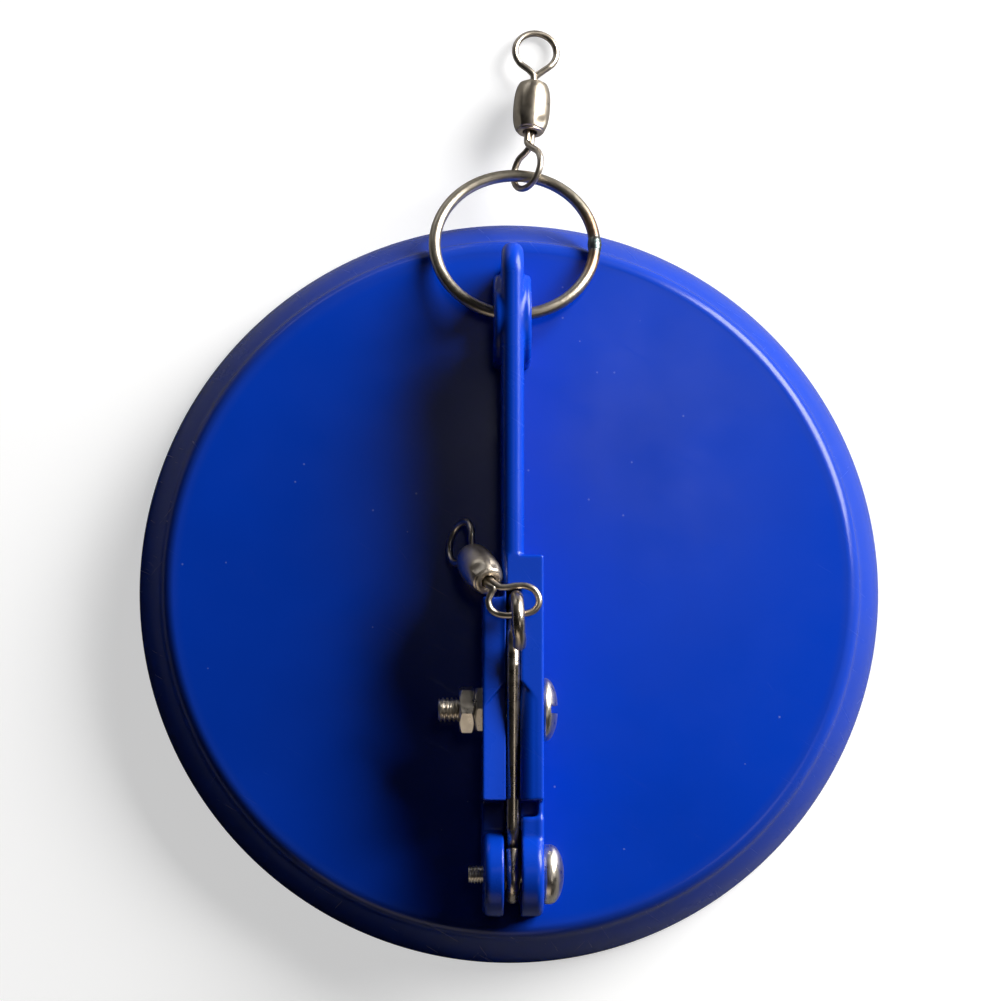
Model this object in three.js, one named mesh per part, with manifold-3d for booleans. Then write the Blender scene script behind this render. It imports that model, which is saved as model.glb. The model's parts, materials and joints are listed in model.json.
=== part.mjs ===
// A directional trolling diver: a moulded dish with a finned keel, a wire trip arm, two swivels and a steering dial.
// Millimetres, +Z up. The dish lies rim down, the tail with the leader ring points to +Y.
import * as THREE from "three";
import { mergeVertices } from "three/addons/utils/BufferGeometryUtils.js";
import Module from "manifold-3d";

const wasm = await Module();
wasm.setup();

// ---- driving dimensions ----
// Dish
const DISH_R = 62;
const DISH_H = 12;
const WALL = 2.5;
const FACE_R = 55.6;
const CORNER_R = 2;
const INNER_ROUND = 1.6;
const WALL_BOW = 0.45;
const LIP = 0.6;
const HUB_R = 8;
const HUB_DEPTH = 1.5;
const PIP_R = 0.9;
const PIP_CIRCLE_R = 29;
const PIP_DROP = 0.6;
const PIP_STEPS_DEG = [-45, -22.5, 0, 22.5, 45];
// Keel: fin, ring boss, clip jaws and pivot ears
const FIN_THICK = 3.6;
const FIN_TOP = 27.3;
const FIN_TAIL_Y = 56;
const FIN_FOOT_Y = 53.5;
const FIN_ROUND = 5.2;
const EDGE_ROUND = 0.9;
const BOSS_Y = 43.6;
const BOSS_Z = 19.2;
const BOSS_R = 7.4;
const BOSS_THICK = 6;
const BOSS_EDGE_ROUND = 0.6;
const RING_HOLE_R = 3.6;
const JAW_HALF = 4.95;
const JAW_FRONT_Y = -35.4;
const RIGHT_JAW_REAR_Y = 4.3;
const LEFT_JAW_REAR_Y = -2.5;
const SLOT_HALF = 1.15;
const SLOT_REAR_Y = -0.9;
const SLOT_FLOOR = 15.5;
const POCKET_HALF = 3.6;
const POCKET_FLOOR = 25.4;
const POCKET_REAR_Y = -16.1;
const POCKET_WIDE_Y = -18.8;
const STEP_TOP = 17.5;
const SIDE_WALL_X = 4;
const SIDE_WALL_TOP = 23.2;
const RAMP_TOP = 22.5;
const RAMP_REAR_Y = -38.2;
const EAR_IN = 1.4;
const EAR_OUT = 5.1;
const EAR_R = 6.8;
const EAR_REAR_Y = -40.6;
const EAR_EDGE_ROUND = 0.7;
const EAR_GAP_FLOOR = 12.6;
// Pivot
const PIVOT_Y = -47.3;
const PIVOT_Z = 20;
const PIVOT_SCREW_R = 1.5;
const PIVOT_HOLE_R = 1.7;
const PIVOT_HEAD_R = 4.85;
const PIVOT_HEAD_X = 8.5;
const PIVOT_TIP_X = -7.15;
const PIVOT_HEAD_EDGE = 0.9;
const HEX_RECESS_FLATS = 2.6;
const HEX_RECESS_DEPTH = 1.5;
const HEAD_GAP = 0.05;
const BUSH_R = 2.5;
const BUSH_HALF = 1.3;
// Trip arm
const ARM_WIRE_R = 1;
const ARM_EYE_R = 3.75;
const ARM_EYE_Y = -6.35;
const ARM_EYE_Z = 29;
// Tension screw and its nuts
const TENSION_Y = -20.6;
const TENSION_Z = 21.5;
const TENSION_R = 2;
const THREAD_DEPTH = 0.3;
const THREAD_PITCH = 0.7;
const TENSION_HEAD_R = 5.15;
const TENSION_HEAD_X = 7.4;
const TENSION_TIP_X = -12.1;
const TENSION_HEAD_EDGE = 0.5;
const DRIVER_SLOT_HALF = 0.6;
const DRIVER_SLOT_DEPTH = 1.1;
const NUT_FLATS = 7;
const NUT_BORE_R = 2.12;
const NUT_POCKET_FLATS = 7.3;
const NUT_POCKET_X = -2.8;
const NUT_IN_X = -2.9;
const NUT_OUT_X = -6.1;
const LOCK_IN_X = -6.25;
const LOCK_OUT_X = -8.65;
// Leader ring
const RING_R = 13.3;
const RING_WIRE_R = 1;
const RING_SLOPE = THREE.MathUtils.degToRad(22);
const RING_X = 0.6;
const RING_BORE_Y = 44.7;
const RING_BORE_Z = 17.5;
const WELD_R = 1.3;
// Swivels
const BARREL_LENGTH = 9.2;
const BARREL_R = 3.1;
const BARREL_END_R = 2.2;
const BARREL_MOUTH_R = 1;
const BARREL_BORE_R = 2.3;
const SWIVEL_WIRE_R = 0.55;
const SWIVEL_HEAD_R = 1.6;
const SWIVEL_EYE_R = 3.5;
const SWIVEL_NECK = 0.9;
const STEM_FOOT = -2.7;
const STEM_SHOULDER = -1.9;
const STEM_TOP = -1.7;
const STEM_OUT = 0.8;
const BARREL_LIP = 0.8;
const BARREL_LIP_FOOT = 1.5;
const LINE_EYE_REACH = 4.7;
const LEADER_EYE_REACH = 6.05;
const RING_EYE_REACH = 6.7;
// Steering dial
const DIAL_R = 24;
const DIAL_TOP = 7.7;
const DIAL_BOTTOM = 5.2;
const DIAL_HOLE_R = 2.2;
const TAB_HALF = 3;
const TAB_R = 27;
const WEIGHT_R = 22;
const WEIGHT_INNER_R = 8.5;
const WEIGHT_TOP = 5.2;
const WEIGHT_BOTTOM = 1.3;
const WEIGHT_SCREW_R = 1.4;
const WEIGHT_SCREW_HEAD_R = 2.4;
const WEIGHT_SCREW_X = 15;
const WEIGHT_SCREW_Y = -3;
const WEIGHT_SCREW_HEAD_DEPTH = 1.6;
const WEIGHT_SCREW_HEAD_TOP = 3.05;
const WEIGHT_SCREW_TOP = 7.1;
const COUNTERBORE_TOP = 3.1;
const PILOT_TOP = 7.3;
const DIAL_SCREW_R = 1.5;
const DIAL_SCREW_HEAD_R = 3;
const DIAL_SCREW_HEAD_TOP = 4.45;
const DIAL_SCREW_HEAD_DEPTH = 2;
const DIAL_SCREW_TOP = 14.4;
const WASHER_R = 4;
const WASHER_BOTTOM = 4.5;
const WASHER_TOP = 5.1;
const KEEL_SCREW_R = 1.1;
const KEEL_SCREW_HEAD_R = 2.2;
const KEEL_SCREW_FRONT_Y = -38;
const KEEL_SCREW_REAR_Y = 34;
const KEEL_SCREW_HEAD_DEPTH = 1.5;
const KEEL_SCREW_TOP = 15.6;
const CROSS_SLOT_HALF = 0.35;
const PLAY = 0.15;
const HALF_PI = Math.PI / 2;
const FACE_Z = DISH_H;
const INNER_Z = DISH_H - WALL;

// ---- solids ----
// A closed geometry as a manifold-3d solid.
function solidOf(geometry) {
  const bare = geometry.index ? geometry.toNonIndexed() : geometry.clone();
  bare.deleteAttribute("normal");
  bare.deleteAttribute("uv");
  const merged = mergeVertices(bare, 1e-4);
  return new wasm.Manifold(
    new wasm.Mesh({
      numProp: 3,
      vertProperties: merged.attributes.position.array,
      triVerts: new Uint32Array(merged.index.array),
    }),
  );
}

// A manifold-3d solid as a three.js geometry.
function geometryOf(solid) {
  const mesh = solid.getMesh();
  const geometry = new THREE.BufferGeometry();
  geometry.setAttribute("position", new THREE.BufferAttribute(mesh.vertProperties, 3));
  geometry.setIndex(new THREE.BufferAttribute(mesh.triVerts, 1));
  geometry.computeVertexNormals();
  return geometry;
}

function join(...solids) {
  return solids.reduce((whole, piece) => whole.add(piece));
}

function cut(solid, ...tools) {
  return tools.reduce((whole, tool) => whole.subtract(tool), solid);
}

// A profile of [radius, height] points turned about +Z, listed anticlockwise: outward along the bottom first.
function turned(profile, segments) {
  const points = profile.map(([radius, height]) => new THREE.Vector2(radius, height));
  return solidOf(new THREE.LatheGeometry(points, segments).rotateX(HALF_PI));
}

function box(low, high) {
  const size = high.map((value, i) => value - low[i]);
  const middle = high.map((value, i) => (value + low[i]) / 2);
  return solidOf(new THREE.BoxGeometry(...size).translate(...middle));
}

// An upright round bar.
function post(radius, bottom, top, [x, y], sides = 16) {
  const bar = new THREE.CylinderGeometry(radius, radius, top - bottom, sides);
  return solidOf(bar.rotateX(HALF_PI).translate(x, y, (bottom + top) / 2));
}

// A round bar along X.
function crossBar(radius, x0, x1, [y, z], sides = 16) {
  const bar = new THREE.CylinderGeometry(radius, radius, x1 - x0, sides);
  return solidOf(bar.rotateZ(HALF_PI).translate((x0 + x1) / 2, y, z));
}

// A side outline of (Y, Z) extruded along X, with its edges rounded by the bevel.
function sidePlate(shape, x0, x1, round = 0) {
  const geometry = new THREE.ExtrudeGeometry(shape, {
    depth: x1 - x0 - 2 * round,
    bevelEnabled: round > 0,
    bevelThickness: round,
    bevelSize: round,
    bevelOffset: -round,
    bevelSegments: 2,
    curveSegments: 8,
  });
  const across = new THREE.Matrix4().makeBasis(
    new THREE.Vector3(0, 1, 0),
    new THREE.Vector3(0, 0, 1),
    new THREE.Vector3(1, 0, 0),
  );
  return solidOf(geometry.applyMatrix4(across).translate(x0 + round, 0, 0));
}

// A flat outline of (X, Y) extruded upwards.
function flatPlate(shape, bottom, top, curveSegments = 24) {
  const options = { depth: top - bottom, bevelEnabled: false, curveSegments };
  return solidOf(new THREE.ExtrudeGeometry(shape, options).translate(0, 0, bottom));
}

// A round wire along a smooth curve through the points.
function wire(points, radius, steps, sides = 8) {
  const section = new THREE.Shape();
  for (let i = 0; i < sides; i += 1) {
    const angle = (2 * Math.PI * i) / sides;
    const corner = [radius * Math.cos(angle), radius * Math.sin(angle)];
    if (i === 0) section.moveTo(...corner);
    else section.lineTo(...corner);
  }
  const extrudePath = new THREE.CatmullRomCurve3(points);
  return solidOf(new THREE.ExtrudeGeometry(section, { steps, extrudePath, bevelEnabled: false }));
}

function material(colour, roughness, metalness) {
  return new THREE.MeshStandardMaterial({ color: colour, roughness, metalness });
}

const BLUE = 0x1440b4;
const STEEL = 0xb9b2a4;
const NICKEL = 0xa79c86;
const LEAD = 0x6b6e73;

const part = new THREE.Group();

function addNode(parent, name, solid, colour, roughness, metalness) {
  const mesh = new THREE.Mesh(geometryOf(solid), material(colour, roughness, metalness));
  mesh.name = name;
  parent.add(mesh);
  return mesh;
}

// ---- dish ----
function dish() {
  const profile = [[0, INNER_Z - HUB_DEPTH], [HUB_R, INNER_Z - HUB_DEPTH], [HUB_R, INNER_Z]];
  const shoulder = INNER_ROUND * (1 - Math.SQRT1_2);
  profile.push([FACE_R - INNER_ROUND, INNER_Z], [FACE_R - shoulder, INNER_Z - shoulder]);
  profile.push([FACE_R, INNER_Z - INNER_ROUND], [DISH_R - WALL, 0], [DISH_R - LIP, 0], [DISH_R, LIP]);
  // The wall bows outwards a little on its way up to the rounded corner of the face.
  const wallTop = new THREE.Vector2(FACE_R + CORNER_R, FACE_Z - CORNER_R);
  const wallFoot = new THREE.Vector2(DISH_R, LIP);
  const rise = wallTop.clone().sub(wallFoot).normalize();
  for (let i = 1; i <= 4; i += 1) {
    const t = i / 5;
    const out = WALL_BOW * Math.sin(Math.PI * t);
    const point = wallFoot.clone().lerp(wallTop, t);
    profile.push([point.x + rise.y * out, point.y - rise.x * out]);
  }
  for (let i = 0; i <= 5; i += 1) {
    const angle = (HALF_PI * i) / 5;
    profile.push([FACE_R + CORNER_R * Math.cos(angle), FACE_Z - CORNER_R + CORNER_R * Math.sin(angle)]);
  }
  profile.push([0, FACE_Z]);
  const shell = turned(profile, 64);
  const pips = PIP_STEPS_DEG.map((degrees) => {
    const angle = HALF_PI + THREE.MathUtils.degToRad(degrees);
    const at = [PIP_CIRCLE_R * Math.cos(angle), PIP_CIRCLE_R * Math.sin(angle)];
    return post(PIP_R, INNER_Z - PIP_DROP, INNER_Z + PLAY, at, 12);
  });
  return cut(
    join(shell, ...pips),
    post(DIAL_SCREW_R + PLAY, 0, FACE_Z + 1, [0, 0]),
    post(KEEL_SCREW_R + PLAY, 0, FACE_Z + 1, [0, KEEL_SCREW_FRONT_Y]),
    post(KEEL_SCREW_R + PLAY, 0, FACE_Z + 1, [0, KEEL_SCREW_REAR_Y]),
  );
}

// ---- keel ----
function finOutline() {
  const shape = new THREE.Shape();
  const below = FACE_Z - 4;
  shape.moveTo(JAW_FRONT_Y, below);
  shape.lineTo(FIN_FOOT_Y - 1, below);
  shape.lineTo(FIN_FOOT_Y, FACE_Z);
  shape.lineTo(FIN_TAIL_Y, FIN_TOP - FIN_ROUND);
  shape.absarc(FIN_TAIL_Y - FIN_ROUND, FIN_TOP - FIN_ROUND, FIN_ROUND, 0, HALF_PI, false);
  shape.lineTo(JAW_FRONT_Y, FIN_TOP);
  shape.closePath();
  return shape;
}

function roundOutline(y, z, radius, below) {
  const shape = new THREE.Shape();
  shape.moveTo(y - radius, below);
  shape.lineTo(y + radius, below);
  shape.lineTo(y + radius, z);
  shape.absarc(y, z, radius, 0, Math.PI, false);
  shape.closePath();
  return shape;
}

function hexPrism(flats, x0, x1, [y, z]) {
  const corner = flats / Math.sqrt(3);
  return crossBar(corner, x0, x1, [y, z], 6);
}

// The shallow pocket over the front half of the slot narrows to the slot's width at its rear end.
function jawPocket() {
  const shape = new THREE.Shape();
  shape.moveTo(-POCKET_HALF, JAW_FRONT_Y - 1);
  shape.lineTo(POCKET_HALF, JAW_FRONT_Y - 1);
  shape.lineTo(POCKET_HALF, POCKET_WIDE_Y);
  shape.lineTo(SLOT_HALF, POCKET_REAR_Y);
  shape.lineTo(-SLOT_HALF, POCKET_REAR_Y);
  shape.lineTo(-POCKET_HALF, POCKET_WIDE_Y);
  shape.closePath();
  return flatPlate(shape, POCKET_FLOOR, FIN_TOP + 1);
}

function keel() {
  const fin = sidePlate(finOutline(), -FIN_THICK / 2, FIN_THICK / 2, EDGE_ROUND);
  const bossShape = roundOutline(BOSS_Y, BOSS_Z, BOSS_R, FACE_Z - 2);
  const boss = sidePlate(bossShape, -BOSS_THICK / 2, BOSS_THICK / 2, BOSS_EDGE_ROUND);
  const rightJaw = box([0, JAW_FRONT_Y, FACE_Z], [JAW_HALF, RIGHT_JAW_REAR_Y, FIN_TOP]);
  const leftJaw = box([-JAW_HALF, JAW_FRONT_Y, FACE_Z], [0, LEFT_JAW_REAR_Y, FIN_TOP]);
  const step = box([-JAW_HALF, PIVOT_Y, FACE_Z], [JAW_HALF, JAW_FRONT_Y + 1, STEP_TOP]);
  const sideWall = box([SIDE_WALL_X, EAR_REAR_Y - 2, FACE_Z], [JAW_HALF, JAW_FRONT_Y + 1, SIDE_WALL_TOP]);
  const ramp = box([EAR_IN, EAR_REAR_Y - 2, FACE_Z], [JAW_HALF, RAMP_REAR_Y, RAMP_TOP]);
  const earShape = roundOutline(PIVOT_Y, PIVOT_Z, EAR_R, FACE_Z - 2);
  const rightEar = sidePlate(earShape, EAR_IN, EAR_OUT, EAR_EDGE_ROUND);
  const leftEar = sidePlate(earShape, -EAR_OUT, -EAR_IN, EAR_EDGE_ROUND);
  const earGap = box([-EAR_IN, PIVOT_Y - EAR_R - 1, EAR_GAP_FLOOR], [EAR_IN, EAR_REAR_Y, FIN_TOP]);
  const whole = join(fin, boss, rightJaw, leftJaw, step, sideWall, ramp, rightEar, leftEar);
  const pivotAt = [PIVOT_Y, PIVOT_Z];
  const tensionAt = [TENSION_Y, TENSION_Z];
  return cut(
    whole,
    box([-JAW_HALF - 1, -DISH_R, 0], [JAW_HALF + 1, DISH_R, FACE_Z]),
    earGap,
    box([-SLOT_HALF, JAW_FRONT_Y - 1, SLOT_FLOOR], [SLOT_HALF, SLOT_REAR_Y, FIN_TOP + 1]),
    box([-SLOT_HALF, EAR_REAR_Y - 1, STEP_TOP - 1], [SLOT_HALF, JAW_FRONT_Y, FIN_TOP]),
    jawPocket(),
    crossBar(RING_HOLE_R, -BOSS_THICK, BOSS_THICK, [BOSS_Y, BOSS_Z], 32),
    crossBar(TENSION_R + PLAY, -2 * JAW_HALF, 2 * JAW_HALF, tensionAt),
    hexPrism(NUT_POCKET_FLATS, -2 * JAW_HALF, NUT_POCKET_X, tensionAt),
    crossBar(PIVOT_HOLE_R, -2 * EAR_OUT, 2 * EAR_OUT, pivotAt),
    post(DIAL_SCREW_R + PLAY, FACE_Z - 1, DIAL_SCREW_TOP + PLAY, [0, 0]),
    post(KEEL_SCREW_R + PLAY, FACE_Z - 1, KEEL_SCREW_TOP + PLAY, [0, KEEL_SCREW_FRONT_Y]),
    post(KEEL_SCREW_R + PLAY, FACE_Z - 1, KEEL_SCREW_TOP + PLAY, [0, KEEL_SCREW_REAR_Y]),
  );
}

// ---- fasteners ----
// A threaded rod's end as a row of sharp-crested rings, from x0 down to x1.
function threadProfile(from, to) {
  const count = Math.floor((from - to) / THREAD_PITCH);
  const profile = [];
  for (let i = 0; i < count; i += 1) {
    profile.push([TENSION_R, from - (i + 0.35) * THREAD_PITCH]);
    profile.push([TENSION_R - THREAD_DEPTH, from - (i + 0.85) * THREAD_PITCH]);
  }
  return profile;
}

// A screw lying along X: its profile runs from the tip at low X to the crown of its head.
function lyingScrew(profile, [y, z]) {
  const points = profile.map(([radius, x]) => new THREE.Vector2(radius, x));
  const geometry = new THREE.LatheGeometry(points, 20).rotateZ(-HALF_PI).translate(0, y, z);
  return solidOf(geometry);
}

function domeProfile(radius, base, crown, edge) {
  const profile = [[radius, base], [radius, base + edge]];
  for (let i = 1; i <= 4; i += 1) {
    const angle = (HALF_PI * i) / 4;
    profile.push([radius * Math.cos(angle), base + edge + (crown - base - edge) * Math.sin(angle)]);
  }
  profile[profile.length - 1][0] = 0;
  return profile;
}

function pivotScrew() {
  const seat = EAR_OUT + HEAD_GAP;
  const tip = [[0, PIVOT_TIP_X], [PIVOT_SCREW_R - THREAD_DEPTH, PIVOT_TIP_X]];
  const profile = [...tip, [PIVOT_SCREW_R, PIVOT_TIP_X + THREAD_DEPTH], [PIVOT_SCREW_R, seat]];
  profile.push(...domeProfile(PIVOT_HEAD_R, seat, PIVOT_HEAD_X, PIVOT_HEAD_EDGE));
  const at = [PIVOT_Y, PIVOT_Z];
  const recess = hexPrism(HEX_RECESS_FLATS, PIVOT_HEAD_X - HEX_RECESS_DEPTH, PIVOT_HEAD_X + 1, at);
  return cut(lyingScrew(profile, at), recess);
}

function tensionScrew() {
  const seat = JAW_HALF + HEAD_GAP;
  const shankR = TENSION_R - HEAD_GAP;
  const tip = [[0, TENSION_TIP_X], [TENSION_R - THREAD_DEPTH, TENSION_TIP_X]];
  const thread = threadProfile(LOCK_OUT_X, TENSION_TIP_X).reverse();
  const profile = [...tip, ...thread, [shankR, LOCK_OUT_X], [shankR, seat]];
  profile.push(...domeProfile(TENSION_HEAD_R, seat, TENSION_HEAD_X, TENSION_HEAD_EDGE));
  const body = lyingScrew(profile, [TENSION_Y, TENSION_Z]);
  const slotBottom = TENSION_HEAD_X - DRIVER_SLOT_DEPTH;
  const slotLow = [slotBottom, TENSION_Y - DRIVER_SLOT_HALF, TENSION_Z - TENSION_HEAD_R - 1];
  const slotHigh = [TENSION_HEAD_X + 1, TENSION_Y + DRIVER_SLOT_HALF, TENSION_Z + TENSION_HEAD_R + 1];
  return cut(body, box(slotLow, slotHigh));
}

function nut(x0, x1) {
  const at = [TENSION_Y, TENSION_Z];
  return cut(hexPrism(NUT_FLATS, x0, x1, at), crossBar(NUT_BORE_R, x0 - 1, x1 + 1, at));
}

function bush() {
  const at = [PIVOT_Y, PIVOT_Z];
  const outer = crossBar(BUSH_R, -BUSH_HALF, BUSH_HALF, at);
  return cut(outer, crossBar(PIVOT_SCREW_R + 0.1, -BUSH_HALF - 1, BUSH_HALF + 1, at));
}

// A pan-head screw driven upwards, with a cross slot in the head below.
function upScrew(radius, headRadius, headTop, headDepth, tip, [x, y]) {
  const head = post(headRadius, headTop - headDepth, headTop, [x, y]);
  const low = headTop - headDepth;
  const slotLow = [x - headRadius, y - CROSS_SLOT_HALF, low - 1];
  const slotHigh = [x + headRadius, y + CROSS_SLOT_HALF, low + headDepth / 2];
  return cut(join(head, post(radius, headTop - HEAD_GAP, tip, [x, y])), box(slotLow, slotHigh));
}

// ---- trip arm ----
function tripArm() {
  const eyeAt = new THREE.Vector3(0, ARM_EYE_Y, ARM_EYE_Z);
  const pivotAt = new THREE.Vector3(0, PIVOT_Y, PIVOT_Z);
  const along = eyeAt.clone().sub(pivotAt).normalize();
  const eye = (centre) => {
    const torus = new THREE.TorusGeometry(ARM_EYE_R, ARM_WIRE_R, 8, 24).rotateY(HALF_PI);
    return solidOf(torus.translate(centre.x, centre.y, centre.z));
  };
  const from = pivotAt.clone().addScaledVector(along, ARM_EYE_R);
  const to = eyeAt.clone().addScaledVector(along, -ARM_EYE_R);
  const shank = new THREE.CylinderGeometry(ARM_WIRE_R, ARM_WIRE_R, from.distanceTo(to), 8);
  const turn = new THREE.Quaternion().setFromUnitVectors(new THREE.Vector3(0, 1, 0), along);
  shank.applyQuaternion(turn);
  const middle = from.clone().add(to).multiplyScalar(0.5);
  shank.translate(middle.x, middle.y, middle.z);
  return join(eye(eyeAt), eye(pivotAt), solidOf(shank));
}

// ---- swivels ----
// A swivel's own frame: u across the eye's loop, v through it, w along the swivel away from the near mouth.
function swivelBasis(along, across) {
  const w = along.clone().normalize();
  const u = across.clone().addScaledVector(w, -across.dot(w)).normalize();
  const v = w.clone().cross(u);
  return new THREE.Matrix4().makeBasis(u, v, w);
}

function barrel() {
  const outer = [[BARREL_MOUTH_R, 0], [BARREL_END_R, 0]];
  for (let i = 1; i <= 5; i += 1) {
    const t = i / 6;
    const swell = Math.sin(Math.PI * t) ** 0.6;
    outer.push([BARREL_END_R + (BARREL_R - BARREL_END_R) * swell, BARREL_LENGTH * t]);
  }
  outer.push([BARREL_END_R, BARREL_LENGTH], [BARREL_MOUTH_R, BARREL_LENGTH]);
  const inner = [[BARREL_MOUTH_R, BARREL_LENGTH - BARREL_LIP], [BARREL_BORE_R, BARREL_LENGTH - BARREL_LIP_FOOT]];
  inner.push([BARREL_BORE_R, BARREL_LIP_FOOT], [BARREL_MOUTH_R, BARREL_LIP], [BARREL_MOUTH_R, 0]);
  return turned([...outer, ...inner], 18);
}

// The headed stem of an eye: the head is inside the barrel, behind the mouth's lip.
function stem() {
  const head = [[0, STEM_FOOT], [SWIVEL_HEAD_R, STEM_FOOT], [SWIVEL_HEAD_R, STEM_SHOULDER]];
  return turned([...head, [SWIVEL_WIRE_R, STEM_TOP], [SWIVEL_WIRE_R, STEM_OUT], [0, STEM_OUT]], 8);
}

// Half a loop in the u-w plane, from the neck round to the crown, with its middle at the reach.
function halfLoop(side, reach) {
  const neck = reach - SWIVEL_EYE_R - SWIVEL_NECK;
  const points = [new THREE.Vector3(0, 0, neck - 0.5), new THREE.Vector3(0, 0, neck)];
  for (let i = 0; i <= 6; i += 1) {
    const angle = THREE.MathUtils.degToRad(-50 + (140 * i) / 6);
    const height = reach + SWIVEL_EYE_R * Math.sin(angle);
    points.push(new THREE.Vector3(side * SWIVEL_EYE_R * Math.cos(angle), 0, height));
  }
  return wire(points, SWIVEL_WIRE_R, 15);
}

// A planar eye standing out of a mouth at the origin towards +w.
function planarEye(reach) {
  const crown = new THREE.SphereGeometry(SWIVEL_WIRE_R, 8, 6);
  crown.translate(0, 0, reach + SWIVEL_EYE_R);
  const foot = post(SWIVEL_WIRE_R, 0, reach - SWIVEL_EYE_R - SWIVEL_NECK, [0, 0], 8);
  return join(stem(), foot, halfLoop(1, reach), halfLoop(-1, reach), solidOf(crown));
}

function place(solid, basis, at) {
  const matrix = basis.clone().setPosition(at);
  return solidOf(geometryOf(solid).applyMatrix4(matrix));
}

// The line swivel hangs off the arm's upper eye, over the left side of the fin.
const LINE_MOUTH = new THREE.Vector3(-3.95, -0.2, 28);
const LINE_ALONG = new THREE.Vector3(-0.321, 0.519, -0.793).normalize();
const LINE_ACROSS = new THREE.Vector3(0.306, 0.848, 0.431);
// The leader swivel lies behind the ring, sloping down to the ground.
const LEADER_MOUTH = new THREE.Vector3(3.3, 76.9, 6.05);
const LEADER_ALONG = new THREE.Vector3(0.075, 0.955, -0.28).normalize();
const LEADER_ACROSS = new THREE.Vector3(1, 0, 0);
const LEADER_NEAR_TURN = THREE.MathUtils.degToRad(48);

// The near eye's stem follows the barrel, and its loop lies level through the arm's eye.
function lineNearEye() {
  const basis = swivelBasis(LINE_ALONG.clone().negate(), LINE_ACROSS);
  const bent = (list) => list.map((p) => new THREE.Vector3(...p));
  const upper = bent([
    [-3.75, -0.52, 28.5], [-3.1, -0.62, 29.1], [-1.6, -0.62, 29.4], [0.6, -0.6, 29.6],
    [2.7, -0.85, 29.9], [3.9, -2, 30.1], [4.05, -3.3, 30.1],
  ]);
  const lower = bent([
    [-3.75, -0.52, 28.5], [-3.55, -1.4, 28.8], [-3.7, -3, 28.7], [-3, -4.6, 28.8], [-1.6, -5.35, 29],
    [0.4, -5.5, 29.4], [2.5, -5.3, 29.8], [3.7, -4.5, 30], [4.05, -3.3, 30.1],
  ]);
  const knee = new THREE.SphereGeometry(SWIVEL_WIRE_R, 8, 6).translate(4.05, -3.3, 30.1);
  return join(
    place(stem(), basis, LINE_MOUTH),
    wire(upper, SWIVEL_WIRE_R, 15),
    wire(lower, SWIVEL_WIRE_R, 18),
    solidOf(knee),
  );
}

function endOfBarrel(mouth, along) {
  return mouth.clone().addScaledVector(along, BARREL_LENGTH);
}

function addSwivel(name, mouth, along, across, nearEye, farReach) {
  const basis = swivelBasis(along, across);
  const farEye = place(planarEye(farReach), basis, endOfBarrel(mouth, along));
  addNode(part, `${name}_near_eye`, nearEye, NICKEL, 0.25, 1);
  addNode(part, `${name}_barrel`, place(barrel(), basis, mouth), NICKEL, 0.25, 1);
  addNode(part, `${name}_far_eye`, farEye, NICKEL, 0.25, 1);
}

function leaderNearEye() {
  const across = new THREE.Vector3(Math.cos(LEADER_NEAR_TURN), 0, Math.sin(LEADER_NEAR_TURN));
  const basis = swivelBasis(LEADER_ALONG.clone().negate(), across);
  return place(planarEye(RING_EYE_REACH), basis, LEADER_MOUTH);
}

// ---- leader ring ----
function leaderRing() {
  const ring = new THREE.TorusGeometry(RING_R, RING_WIRE_R, 8, 48);
  const weld = new THREE.SphereGeometry(WELD_R, 10, 8).translate(RING_R, 0, 0);
  const whole = geometryOf(join(solidOf(ring), solidOf(weld)));
  const middleY = RING_BORE_Y + RING_R * Math.cos(RING_SLOPE);
  const middleZ = RING_BORE_Z - RING_R * Math.sin(RING_SLOPE);
  return solidOf(whole.rotateX(-RING_SLOPE).translate(RING_X, middleY, middleZ));
}

// ---- steering dial ----
function dialPlate() {
  const outline = new THREE.Shape();
  outline.absarc(0, 0, DIAL_R, 0, 2 * Math.PI, false);
  const disc = flatPlate(outline, DIAL_BOTTOM, DIAL_TOP, 20);
  const tab = box([-TAB_HALF, DIAL_R - 3, DIAL_BOTTOM], [TAB_HALF, TAB_R, DIAL_TOP]);
  const bore = post(DIAL_HOLE_R, 0, FACE_Z, [0, 0]);
  const pilots = [-1, 1].map((side) =>
    post(WEIGHT_SCREW_R + PLAY, 0, PILOT_TOP, [side * WEIGHT_SCREW_X, WEIGHT_SCREW_Y]),
  );
  return cut(join(disc, tab), bore, ...pilots);
}

function keelWeight() {
  const outline = new THREE.Shape();
  outline.moveTo(WEIGHT_R, 0);
  outline.absarc(0, 0, WEIGHT_R, 0, Math.PI, true);
  outline.lineTo(-WEIGHT_INNER_R, 0);
  outline.absarc(0, 0, WEIGHT_INNER_R, Math.PI, 2 * Math.PI, false);
  outline.closePath();
  const body = flatPlate(outline, WEIGHT_BOTTOM, WEIGHT_TOP, 20);
  const holes = [-1, 1].flatMap((side) => [
    post(WEIGHT_SCREW_R + PLAY, 0, WEIGHT_TOP + 1, [side * WEIGHT_SCREW_X, WEIGHT_SCREW_Y]),
    post(WEIGHT_SCREW_HEAD_R + PLAY, 0, COUNTERBORE_TOP, [side * WEIGHT_SCREW_X, WEIGHT_SCREW_Y]),
  ]);
  return cut(body, ...holes);
}

function washer() {
  const ring = post(WASHER_R, WASHER_BOTTOM, WASHER_TOP, [0, 0]);
  return cut(ring, post(DIAL_SCREW_R + PLAY, 0, FACE_Z, [0, 0]));
}

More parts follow.
